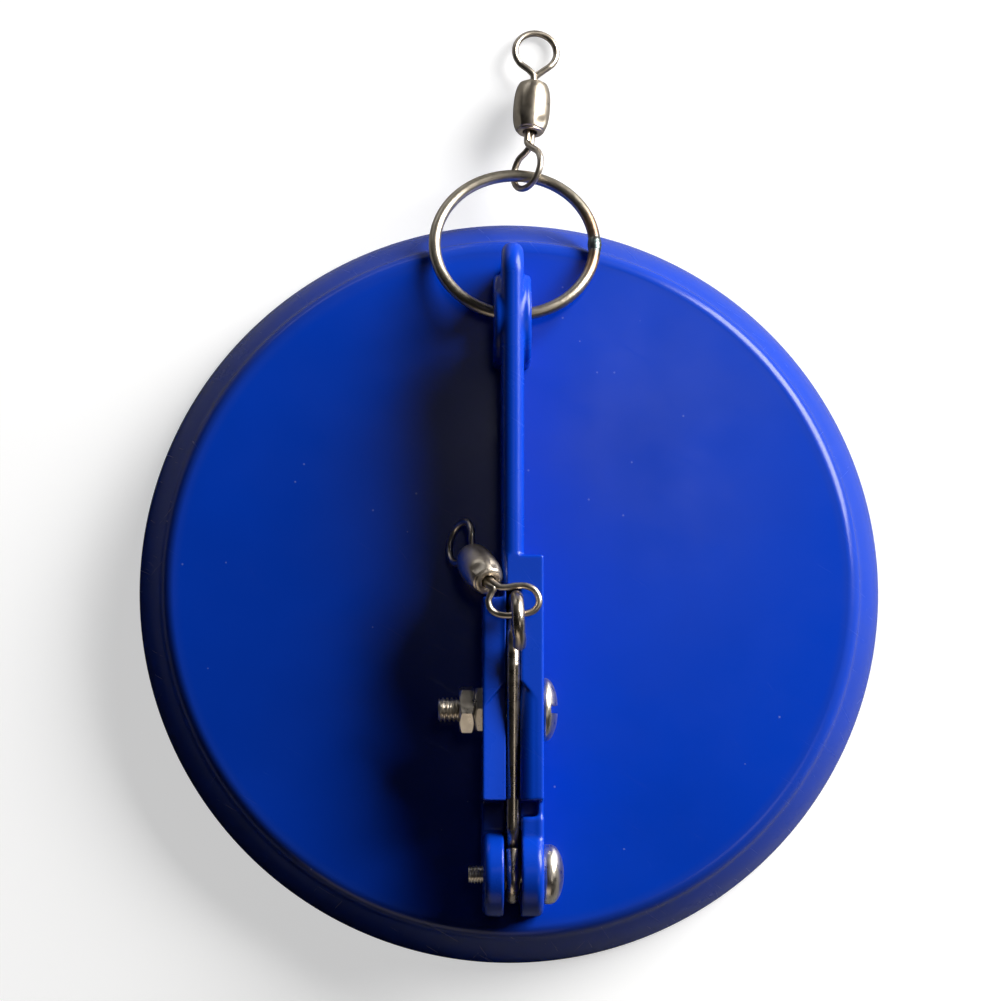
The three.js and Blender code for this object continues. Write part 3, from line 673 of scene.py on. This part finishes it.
def base_field(x, y, z):
    """What joins the jaws to the ears: a step, a sill, and on the right a wall that ramps up to the ear."""
    front = JAW_FRONT + 1
    step = field_box(x, y, z, (-JAW_HALF, EAR_REAR - 6, ROOT), (JAW_HALF, front, STEP_TOP), 0.4)
    sill = field_box(x, y, z, (SLOT_HALF, EAR_REAR - 3, ROOT), (JAW_HALF, front, PIVOT.z + 1.2), 0.4)
    ramp_high = (JAW_HALF, EAR_REAR + 2.6, PIVOT.z + 3.6)
    ramp = field_box(x, y, z, (1.3, EAR_REAR - 4, ROOT), ramp_high, 0.6)
    wall = field_box(x, y, z, (4, EAR_REAR - 3, ROOT), (JAW_HALF, front, PIVOT.z + 3.2), 0.4)
    return step, sill, soft_join(ramp, wall, 0.8)


def pocket_field(x, y, z):
    """The front half of the slot, shallow for the wire: a round right shoulder and a sloping left one."""
    shoulder = FIN_TOP - POCKET_R
    aside = x - POCKET_HALF
    rounded = np.maximum(POCKET_R - np.hypot(aside, z - shoulder), np.maximum(aside, shoulder - z))
    left_top = FIN_TOP - LEFT_JAW_DROP - LEFT_JAW_SLOPE * (x + JAW_HALF)
    sloping = np.maximum(left_top - z, x - SLOT_HALF) * 0.95
    over = np.where(x > 0, rounded, sloping)
    rear = ((np.abs(x) - SLOT_HALF) * 1.2 + (y - POCKET_REAR)) * 0.64
    return np.maximum(np.maximum(over, rear), JAW_FRONT - 1 - y)


def bore_field(y, z, centre, radius):
    """A round hole all the way through along X."""
    return np.hypot(y - centre.y, z - centre.z) - radius


def nut_seat_field(x, y, z):
    """The hexagonal recess that stops the tension nut from turning."""
    along, rise = y - TENSION.y, (z - TENSION.z) * 0.866
    flats = np.maximum(np.abs(along), np.abs(rise + along * 0.5))
    flats = np.maximum(flats, np.abs(rise - along * 0.5)) - NUT_HALF
    return np.maximum(flats, x - NUT_SEAT)


def keel_field(x, y, z):
    """Distance to the keel's surface in millimetres, less than 0 inside the plastic."""
    left_top = FIN_TOP - LEFT_JAW_DROP
    right = field_box(x, y, z, (-1, JAW_FRONT, ROOT), (JAW_HALF, RIGHT_JAW_REAR, FIN_TOP), 0.35)
    left = field_box(x, y, z, (-JAW_HALF, JAW_FRONT, ROOT), (1, LEFT_JAW_REAR, left_top), 0.35)
    body = soft_join(fin_field(x, y, z), np.minimum(right, left), 0.5)
    for part in base_field(x, y, z):
        body = soft_join(body, part, 0.6)
    right_ear = field_ear(x, y, z, EAR_GAP_HALF, EAR_RIGHT)
    left_ear = field_ear(x, y, z, EAR_LEFT, -EAR_GAP_HALF)
    body = soft_join(body, np.minimum(right_ear, left_ear), 0.6)
    gap_low = (-EAR_GAP_HALF, PIVOT.y - 20, FACE_Z + 0.6)
    body = soft_cut(body, field_box(x, y, z, gap_low, (EAR_GAP_HALF, EAR_REAR + 0.4, ABOVE), 0.3), 0.25)
    slot_low = (-SLOT_HALF, SLOT_FRONT, SLOT_FLOOR)
    body = soft_cut(body, field_box(x, y, z, slot_low, (SLOT_HALF, SLOT_REAR, ABOVE), 0.5), 0.35)
    body = soft_cut(body, pocket_field(x, y, z), 0.15)
    body = soft_cut(body, bore_field(y, z, BOSS, BORE_R), 0.5)
    body = soft_cut(body, bore_field(y, z, TENSION, TENSION_BORE_R), 0.2)
    body = soft_cut(body, bore_field(y, z, PIVOT, PIVOT_BORE_R), 0.2)
    body = soft_cut(body, nut_seat_field(x, y, z), 0.2)
    return np.maximum(body, FACE_Z - 0.1 - z)


def surface_nets(field, low, high, pitch):
    """A quad mesh of where a field is zero, with its points pulled onto the true surface."""
    axes = [np.arange(l - 2 * pitch, h + 3 * pitch, pitch) for l, h in zip(low, high)]
    grid = np.meshgrid(*axes, indexing="ij")
    value = field(*grid)
    inside = value < 0
    nx, ny, nz = value.shape
    total = np.zeros((nx - 1, ny - 1, nz - 1, 3))
    count = np.zeros((nx - 1, ny - 1, nz - 1))
    ends = [(dx, dy, dz) for dx in (0, 1) for dy in (0, 1) for dz in (0, 1)]

    def corner(array, offset):
        return array[tuple(slice(o, n - 1 + o) for o, n in zip(offset, (nx, ny, nz)))]

    for start in ends:
        for axis in range(3):
            if start[axis]:
                continue
            end = tuple(s + (k == axis) for k, s in enumerate(start))
            a, b = corner(value, start), corner(value, end)
            crossing = (a < 0) != (b < 0)
            t = np.where(crossing, a / np.where(crossing, a - b, 1), 0)
            for k in range(3):
                total[..., k] += crossing * (start[k] + (t if k == axis else 0))
            count += crossing
    active = count > 0
    index = -np.ones(active.shape, int)
    index[active] = np.arange(active.sum())
    cells = np.argwhere(active)
    origin = np.array([a[0] for a in axes])
    points = origin + (cells + total[active] / count[active][:, None]) * pitch
    step = pitch * 0.05
    for _ in range(4):
        here = field(*points.T)
        slope = np.stack([
            (field(*(points + np.eye(3)[k] * step).T) - here) / step for k in range(3)
        ], 1)
        norm = np.maximum((slope ** 2).sum(1), 0.25)
        move = np.clip(here / norm, -pitch * 0.5, pitch * 0.5)
        points = points - slope * move[:, None]
    faces = []
    for axis in range(3):
        u, v = [k for k in range(3) if k != axis]
        head = [slice(None)] * 3
        tail = [slice(None)] * 3
        head[axis], tail[axis] = slice(0, -1), slice(1, None)
        flips = np.argwhere(inside[tuple(head)] != inside[tuple(tail)])
        flips = flips[(flips[:, u] > 0) & (flips[:, v] > 0)]
        du, dv = np.eye(3, dtype=int)[u], np.eye(3, dtype=int)[v]
        ring = [flips - du - dv, flips - dv, flips, flips - du]
        quads = np.stack([index[tuple(c.T)] for c in ring], 1)
        if axis == 1:
            quads = quads[:, ::-1]
        starts_inside = inside[tuple(flips.T)]
        quads[~starts_inside] = quads[~starts_inside][:, ::-1]
        faces.append(quads)
    return points, np.concatenate(faces)


def make_keel(material):
    pitch = 0.26
    points, quads = surface_nets(keel_field, KEEL_LOW, KEEL_HIGH, pitch)
    points = np.clip(points, np.array(KEEL_LOW) - 0.1, np.array(KEEL_HIGH))
    mesh = bpy.data.meshes.new("keel_moulding")
    mesh.from_pydata((points * MM).tolist(), [], quads.tolist())
    mesh.shade_smooth()
    dress(show("keel_moulding", mesh), "dish", ["keel_fin"], material)


# ---- screws and nuts ----
def threaded(radius, depth, pitch, low, high, place, tip_down=True):
    """A rod from low to high along local Z with a helical thread that fades out at the tip."""
    per_turn, around = 10, 32
    rows = max(4, round((high - low) / pitch * per_turn))
    verts, faces = [], []
    for i in range(rows + 1):
        h = low + (high - low) * i / rows
        from_tip = (h - low) if tip_down else (high - h)
        for k in range(around):
            turn = (h / pitch - k / around) % 1
            crest = max(0.0, 1 - abs(turn - 0.5) * 2.6)
            flat = min(1.0, crest * 1.35)
            r = radius - depth * (1 - flat)
            r = min(r, radius - depth + 0.05 + max(0.0, from_tip) * 0.9)
            angle = 2 * math.pi * k / around
            verts.append(place @ Vector((r * math.cos(angle), r * math.sin(angle), h)))
    for i in range(rows):
        for k in range(around):
            j = (k + 1) % around
            a, b = i * around, (i + 1) * around
            faces.append((a + k, a + j, b + j, b + k))
    faces.append(tuple(reversed(range(around))))
    faces.append(tuple(range(rows * around, (rows + 1) * around)))
    return verts, faces


def dome(radius, base, crown, edge):
    """A domed head's profile from its underside outwards, up its edge and over its crown."""
    points = [(0, base), (radius - 0.35, base), (radius - 0.08, base + 0.10), (radius, base + 0.3)]
    points.append((radius, base + edge))
    for degrees in range(6, 90, 6):
        a = math.radians(degrees)
        points.append((radius * math.cos(a), base + edge + (crown - base - edge) * math.sin(a)))
    points.append((0, crown))
    return points


def rod_profile(radius, low, high):
    """A plain rod's profile, for revolve."""
    return [(0, low), (radius, low), (radius, high), (0, high)]


def make_pivot_screw(material):
    low, high = corners("pivot_screw")
    place = axis_frame(Vector((0, PIVOT.y, PIVOT.z)), X_AXIS, Z_AXIS)
    head_r = (high.z - low.z) / 2
    shank_r = 1.5
    seat = EAR_RIGHT + 0.02
    plain_end = -3.2
    head = revolve(dome(head_r, seat, high.x, 1.0), 72, place)
    shank = revolve(rod_profile(shank_r, plain_end, seat + 0.2), 32, place)
    thread = threaded(shank_r, 0.22, 0.5, low.x, plain_end + 0.2, place)
    made = finish_mesh("pivot_screw_domed", *combine(head, shank, thread), 38)
    dress(made, "dish", ["pivot_screw"], material)


def make_pivot_bush(material):
    place = axis_frame(Vector((0, PIVOT.y, PIVOT.z)), X_AXIS, Z_AXIS)
    ring = [(1.6, -1.3), (2.35, -1.3), (2.5, -1.15), (2.5, 1.15), (2.35, 1.3), (1.6, 1.3)]
    made = finish_mesh("pivot_bush_turned", *revolve(ring, 48, place, closed=True), 30)
    dress(made, "dish", ["pivot_bush"], material)


def make_tension_screw(material):
    low, high = corners("tension_screw")
    place = axis_frame(Vector((0, TENSION.y, TENSION.z)), X_AXIS, Z_AXIS)
    head_r = (high.z - low.z) / 2
    seat = JAW_HALF + 0.03
    slot_half, slot_depth = 0.7, 1.2
    plain_end = -6.3
    head = finish_mesh("tension_screw_truss", *revolve(dome(head_r, seat, high.x, 0.35), 80, place), 38)
    slot_low = (high.x - slot_depth, TENSION.y - slot_half, TENSION.z - 6)
    slot_high = (high.x + 1, TENSION.y + slot_half, TENSION.z + 6)
    carve(head, finish_mesh("slot", *box_mesh(slot_low, slot_high), 30))
    shank = revolve(rod_profile(1.92, plain_end, seat + 0.2), 40, place)
    thread = threaded(2.0, 0.36, 0.72, low.x, plain_end + 0.1, place)
    rod = finish_mesh("tension_screw_rod", *combine(shank, thread), 40)
    dress(head, "tension_screw", ["tension_screw"], material)
    dress(rod, "tension_screw", ["tension_screw"], material)


NUT_FLATS = 7.0
NUT_BORE_R = 2.02


def hex_nut(flats, x0, x1, bore, centre, turn):
    """A hex nut along X with both faces chamfered to a round land."""
    sides = 96
    land = flats / 2 * 0.985
    slope = math.tan(math.radians(28))

    def hex_radius(angle):
        folded = (angle - turn) % (math.pi / 3) - math.pi / 6
        return flats / 2 / math.cos(folded)

    verts = []
    for k in range(sides):
        angle = 2 * math.pi * k / sides
        r = hex_radius(angle)
        drop = max(0.0, r - land) * slope + 0.03
        # Radius, and depth below the face, from the bore out to the flat.
        face = [(bore, 0.25), (bore + 0.3, 0), (land, 0), (r - 0.05, drop), (r, drop + 0.07)]
        row = [(radius, x0 + depth) for radius, depth in face]
        row += [(radius, x1 - depth) for radius, depth in reversed(face)]
        across = Vector((0, math.cos(angle), math.sin(angle)))
        verts += [Vector((x, centre.y, centre.z)) + across * radius for radius, x in row]
    per = len(row)
    faces = []
    for k in range(sides):
        j = (k + 1) % sides
        for i in range(per):
            n = (i + 1) % per
            faces.append((k * per + i, k * per + n, j * per + n, j * per + i))
    return verts, faces


def make_nuts(material):
    for node, body, turn in (("tension_nut", "dish", 0.0), ("lock_nut", "lock_nut", math.radians(11))):
        low, high = corners(node)
        shape = hex_nut(NUT_FLATS, low.x, high.x, NUT_BORE_R, TENSION, math.pi / 6 + turn)
        made = finish_mesh(f"{node}_chamfered", *shape, 26)
        dress(made, body, [node], material)


# ---- trip arm ----
ARM_WIRE_R = 1.05
ARM_EYE_R = 3.7
ARM_EYE, _ = joint_place("line_swing")


def make_arm(material):
    """One wire: each eye's end is cut off where it closes on the shank."""
    along = (ARM_EYE - PIVOT).normalized()
    up = X_AXIS.cross(along)

    def at(centre, reach, rise, aside=0.0):
        return centre + along * reach + up * rise + X_AXIS * aside

    def on_eye(centre, degrees, aside=0.0):
        a = math.radians(degrees)
        return at(centre, ARM_EYE_R * math.cos(a), ARM_EYE_R * math.sin(a), aside)

    lower_end = ((4.8, 2.3), (3.7, 2.65), (2.7, 2.98))
    lower_neck = ((4.3, -0.6), (5.0, 0.1), (6, 0.7))
    shank = ((7.4, 1.0), (9, 1.1), (13, 0.95), (18, 0.6), (24, 0.3))
    upper_neck = ((-8.6, 0.25), (-7.1, 0.15), (-5.6, -0.55), (-4.5, -1.35))
    upper_end = ((-2.5, 2.85), (-3.3, 2.3), (-4.0, 1.65))
    points = [at(PIVOT, *place) for place in lower_end]
    points += [on_eye(PIVOT, degrees) for degrees in range(58, 345, 16)]
    points += [at(PIVOT, *place) for place in (*lower_neck, *shank)]
    points += [at(ARM_EYE, *place) for place in upper_neck]
    # The upper eye winds a little sideways, so that its end lies beside the shank.
    points += [on_eye(ARM_EYE, degrees, 0.9 * (degrees - 215) / 290) for degrees in range(217, 475, 16)]
    points += [at(ARM_EYE, *place, 0.95) for place in upper_end]
    path = smooth_path(points, 6)
    made = finish_mesh("trip_arm_wire", *sweep(path, ARM_WIRE_R, 24, blunt=0.2), 50)
    dress(made, "arm", ["trip_arm"], material)


# ---- leader ring ----
RING_WIRE_R = 1.0
WIRE_SIDES = 24
# The weld reaches this far round the ring either side of its middle, in radians.
WELD_HALF = 0.085
WELD_STEPS = 8


def make_ring(material_for):
    low, high = corners("leader_ring")
    middle = Vector((RING_PIVOT.x, (low.y + high.y) / 2, (low.z + high.z) / 2))
    away = Vector((0, middle.y - RING_PIVOT.y, middle.z - RING_PIVOT.z))
    radius = away.length
    toward = away.normalized()

    def on_ring(a):
        return middle + (X_AXIS * math.cos(a) + toward * math.sin(a)) * radius

    ring = sweep([on_ring(2 * math.pi * k / 144) for k in range(144)], RING_WIRE_R, WIRE_SIDES, closed=True)
    # The weld is a low rippled band of metal that swells over the joint.
    turns = [WELD_HALF * k / WELD_STEPS for k in range(-WELD_STEPS, WELD_STEPS + 1)]
    verts, faces = sweep([on_ring(a) for a in turns], RING_WIRE_R, WIRE_SIDES, blunt=0.02)
    swollen = []
    for i, vert in enumerate(verts):
        share = (i // WIRE_SIDES - WELD_STEPS - 1) / WELD_STEPS
        lump = 0.02 + 0.13 * max(0.0, 1 - share ** 2) * (1 + 0.35 * math.sin(2.3 * i))
        swollen.append(vert + (vert - on_ring(WELD_HALF * share)).normalized() * lump)
    made = finish_mesh("leader_ring_welded", *combine(ring, (swollen, faces)), 60)
    dress(made, "ring", ["leader_ring"], material_for(on_ring(0)))


# ---- swivels ----
WIRE_R = 0.55
EYE_R = 3.5
BARREL_LENGTH = 9.2
MOUTH_R = 1.15
CRIMP_DEPTH = 0.34


def make_barrel(name, node, body, mouth, along, across, material):
    """A swaged barrel, swollen in the middle, with a crimped collar at the near end."""
    place = axis_frame(mouth, along, across)
    outer = [(MOUTH_R, 0.35), (1.25, 0.08), (1.45, 0.0), (1.95, 0.0), (2.15, 0.12), (2.25, 0.35)]
    for i in range(21):
        t = 0.055 + 0.90 * i / 20
        outer.append((2.0 + 1.1 * (1 - abs(2 * t - 1) ** 2.6) ** 0.6, BARREL_LENGTH * t))
    outer += [(2.05, 9.0), (1.8, BARREL_LENGTH), (1.45, BARREL_LENGTH), (1.25, 9.12), (MOUTH_R, 8.85)]
    inner = [(MOUTH_R, 8.4), (1.95, 7.8), (1.95, 1.6), (MOUTH_R, 1.0)]

    def crimp(radius, height, angle):
        if radius < 2.2 or height > 3.0:
            return radius
        dent = max(0.0, math.cos(3.5 * angle)) ** 0.8 * max(0.0, 1 - abs(height - 1.25) / 1.5)
        return radius - CRIMP_DEPTH * dent

    shape = revolve([*outer, *inner], 84, place, closed=True, shape=crimp)
    made = finish_mesh(f"{name}_barrel_swaged", *shape, 32)
    dress(made, body, [node], material)


def eye_wire(reach):
    """An eye's wire out of the mouth, round the loop and back, its strands crossing at the neck."""
    neck = reach - EYE_R - 0.95
    half = [(0.0, 0.5, -0.6), (0.02, 0.5, neck - 0.7), (0.16, 0.5, neck - 0.1)]
    half += [(0.62, 0.47, neck + 0.45), (1.25, 0.42, neck + 1.0)]
    points = list(half)
    for degrees in range(-50, 231, 14):
        a = math.radians(degrees)
        points.append((EYE_R * math.cos(a), 0.36 * math.cos(a), reach + EYE_R * math.sin(a)))
    points += [(-u, -v, w) for u, v, w in reversed(half)]
    return points


def stem_head(place):
    """The upset head inside the barrel that keeps an eye from pulling out."""
    head = [(0, -2.7), (1.3, -2.7), (1.6, -2.45), (1.6, -2.1), (1.2, -1.9)]
    stem = [(0.7, -1.75), (0.62, -0.6), (0, -0.5)]
    return revolve([*head, *stem], 28, place)


def dress_eye(name, node, body, place, path, material):
    made = finish_mesh(f"{name}_wire", *combine(stem_head(place), sweep(path, WIRE_R, 18)), 50)
    dress(made, body, [node], material)


def make_eye(name, node, body, mouth, along, across, reach, material):
    place = axis_frame(mouth, along, across)
    path = [place @ p for p in smooth_path(eye_wire(reach), 5)]
    dress_eye(name, node, body, place, path, material)


def make_leader_swivel(material):
    mouth, along = joint_place("leader_barrel_spin")
    far_mouth, _ = joint_place("leader_end_spin")
    make_barrel("leader", "leader_swivel_barrel", "leader_barrel", mouth, along, X_AXIS, material)
    turn = math.radians(48)
    across = Vector((math.cos(turn), 0, math.sin(turn)))
    near = ("leader_near_eye", "leader_swivel_near_eye", "leader_link")
    make_eye(*near, mouth, -along, across, 6.7, material)
    far = ("leader_far_eye", "leader_swivel_far_eye", "leader_end")
    make_eye(*far, far_mouth, along, X_AXIS, 6.0, material)


def make_line_swivel(material):
    mouth, along = joint_place("line_barrel_spin")
    far_mouth, _ = joint_place("line_end_spin")
    # The swivel is rolled about its length so that its far eye stands almost on edge.
    across = Vector((0.306, 0.848, 0.431))
    make_barrel("line", "line_swivel_barrel", "line_barrel", mouth, along, across, material)
    make_eye("line_far_eye", "line_swivel_far_eye", "line_end", far_mouth, along, across, 4.7, material)
    # The near eye's stem follows the barrel, then its strands bend level and loop through the arm's eye.
    place = axis_frame(mouth, -along, across)
    out = [(0.75, -1.1, 0.95), (0.35, -1.9, 0.8), (-0.1, -3.1, 0.75), (0.35, -4.5, 0.8), (1.6, -5.3, 0.9)]
    bend = [(3.2, -5.5, 1.3), (5.2, -5.3, 1.8), (7.0, -4.9, 2.0), (7.95, -3.8, 2.1), (7.95, -2.5, 2.1)]
    back = [(7.2, -1.35, 2.0), (5.9, -0.75, 1.8), (4.4, -0.72, 1.6), (2.8, -0.95, 1.4), (1.6, -0.85, 1.2)]
    loop = [mouth + Vector(p) for p in (*out, *bend, *back)]
    start = [place @ Vector((-0.3, 0.2, -0.6)), place @ Vector((-0.3, 0.2, 0.5))]
    end = [place @ Vector((0.35, -0.2, 0.45)), place @ Vector((0.35, -0.2, -0.6))]
    path = smooth_path([*start, *loop, *end], 7)
    dress_eye("line_near_eye", "line_swivel_near_eye", "line_link", place, path, material)


# ---- steering dial, its weight and the screws below ----
def plate(outline, low, high):
    """A flat outline of (x, y) points as a solid between two heights."""
    count = len(outline)
    verts = [Vector((x, y, z)) for z in (low, high) for x, y in outline]
    faces = [tuple(reversed(range(count))), tuple(range(count, 2 * count))]
    faces += [(i, (i + 1) % count, (i + 1) % count + count, i + count) for i in range(count)]
    return verts, faces


POINTER_HALF = 3
DIAL_BORE_R = 2.2
WEIGHT_R = 22
WEIGHT_INNER_R = 8.5


def make_dial(material):
    """A round plate with a square-ended pointer at the tail and a bore for its screw."""
    low, high = corners("dial_plate")
    radius = (high.x - low.x) / 2
    half = math.degrees(math.asin(POINTER_HALF / radius))
    outline = arc((CENTRE.x, CENTRE.y), radius, 90 + half, 450 - half, 120)
    outline += [(CENTRE.x + POINTER_HALF, high.y), (CENTRE.x - POINTER_HALF, high.y)]
    made = finish_mesh("dial_plate_moulded", *plate(outline, low.z, high.z), 30)
    place = Matrix.Translation((CENTRE.x, CENTRE.y, 0))
    carve(made, finish_mesh("bore", *revolve(rod_profile(DIAL_BORE_R, 0, FACE_Z), 40, place), 30))
    edge_bevel(made, 0.35)
    dress(made, "dial", ["dial_plate"], material)


def make_weight(lead):
    """A cast half-moon of lead, with a stepped hole for each of its screws."""
    low, high = corners("keel_weight")
    middle = (CENTRE.x, CENTRE.y)
    outline = arc(middle, WEIGHT_R, 180, 360, 60) + arc(middle, WEIGHT_INNER_R, 360, 180, 40)
    weight = finish_mesh("keel_weight_cast", *plate(outline, low.z, high.z), 30)
    stepped = [(0, 0), (2.55, 0), (2.55, 3.1), (1.55, 3.1), (1.55, 6), (0, 6)]
    for node in ("weight_screw_left", "weight_screw_right"):
        screw_low, screw_high = corners(node)
        at = (screw_low + screw_high) / 2
        pocket = revolve(stepped, 40, Matrix.Translation((at.x, at.y, 0)))
        carve(weight, finish_mesh("pocket", *pocket, 30))
    edge_bevel(weight, 0.4, 3)
    dress(weight, "dial", ["keel_weight"], lead)


def make_pan_screw(node, body, radius, head_r, head_depth, material):
    """A pan-head screw driven upwards, with a cross recess in the head below."""
    low, high = corners(node)
    middle = (low + high) / 2
    place = Matrix.Translation((middle.x, middle.y, 0))
    head_top = low.z + head_depth
    head = [(0, low.z)]
    for degrees in range(12, 91, 13):
        a = math.radians(degrees)
        head.append((head_r * math.sin(a), low.z + 0.45 * head_depth * (1 - math.cos(a))))
    head += [(head_r, head_top - 0.1), (head_r - 0.1, head_top), (0, head_top)]
    made = finish_mesh(f"{node}_pan", *revolve(head, 48, place), 34)
    thin, long = 0.32, head_r * 0.62
    for across, along in ((thin, long), (long, thin)):
        slot_low = (middle.x - across, middle.y - along, low.z - 1)
        slot_high = (middle.x + across, middle.y + along, low.z + head_depth * 0.6)
        carve(made, finish_mesh("slot", *box_mesh(slot_low, slot_high), 30))
    thread = threaded(radius, radius * 0.2, radius * 0.7, head_top - 0.2, high.z, place, tip_down=False)
    rod = finish_mesh(f"{node}_rod", *thread, 40)
    dress(made, body, [node], material)
    dress(rod, body, [node], material)


def make_washer(material):
    low, high = corners("dial_washer")
    place = Matrix.Translation((CENTRE.x, CENTRE.y, 0))
    outer, bore, edge_band = 4.0, 1.65, 0.1
    lower = [(bore, low.z), (outer - edge_band, low.z), (outer, low.z + edge_band)]
    upper = [(outer, high.z - edge_band), (outer - edge_band, high.z), (bore, high.z)]
    ring = [*lower, *upper]
    made = finish_mesh("dial_washer_flat", *revolve(ring, 60, place, closed=True), 30)
    dress(made, "dish", ["dial_washer"], material)


# ---- the whole model ----
make_camera()
make_lights()

FLOOR_HALF, FLOOR_DEPTH, FLOOR_GAP = 3000, 20, 0.05
floor_low, floor_high = (-FLOOR_HALF, -FLOOR_HALF, -FLOOR_DEPTH), (FLOOR_HALF, FLOOR_HALF, -FLOOR_GAP)
floor = finish_mesh("floor", *box_mesh(floor_low, floor_high), 30)
floor.data.materials.append(floor_paint())

# The dish's rim is tinted a greyer, darker blue: painted sheen and shade.
blue = plastic("blue_gloss_plastic", (0.0008, 0.038, 0.43), 0.18, 0.08, rim_sheen_colour=(0.009, 0.039, 0.33))
keel_blue = plastic("blue_keel_plastic", (0.0010, 0.042, 0.45), 0.27, 0.05)
dial_blue = plastic("blue_dial_plastic", (0.0010, 0.038, 0.40), 0.38, 0.08)
wire_steel = metal("drawn_stainless", (0.56, 0.49, 0.40), (0.38, 0.32, 0.25), 0.27, grain=500, relief=0.05)
screw_steel = metal("machined_steel", (0.76, 0.71, 0.63), (0.52, 0.46, 0.39), 0.30, relief=0.08)
nickel = metal("polished_nickel", (0.66, 0.59, 0.50), (0.46, 0.39, 0.30), 0.33, relief=0.06)
bush_steel = metal("dull_steel", (0.48, 0.36, 0.30), (0.30, 0.22, 0.19), 0.40)
lead = metal("cast_lead", (0.26, 0.27, 0.29), (0.15, 0.16, 0.18), 0.55, grain=260, relief=0.5)

make_dish(blue)
make_keel(keel_blue)
make_pivot_screw(screw_steel)
make_pivot_bush(bush_steel)
make_tension_screw(screw_steel)
make_nuts(screw_steel)
make_arm(wire_steel)
make_ring(lambda weld_at: ring_metal("ring_stainless", (0.60, 0.54, 0.44), (0.38, 0.33, 0.26), weld_at))
make_line_swivel(nickel)
make_leader_swivel(nickel)
make_dial(dial_blue)
make_weight(lead)
make_washer(screw_steel)
make_pan_screw("dial_screw", "dish", 1.5, 3.0, 2.0, screw_steel)
for side in ("left", "right"):
    make_pan_screw(f"weight_screw_{side}", "dial", 1.4, 2.4, 1.6, screw_steel)
for end in ("front", "rear"):
    make_pan_screw(f"keel_screw_{end}", "dish", 1.1, 2.2, 1.5, screw_steel)
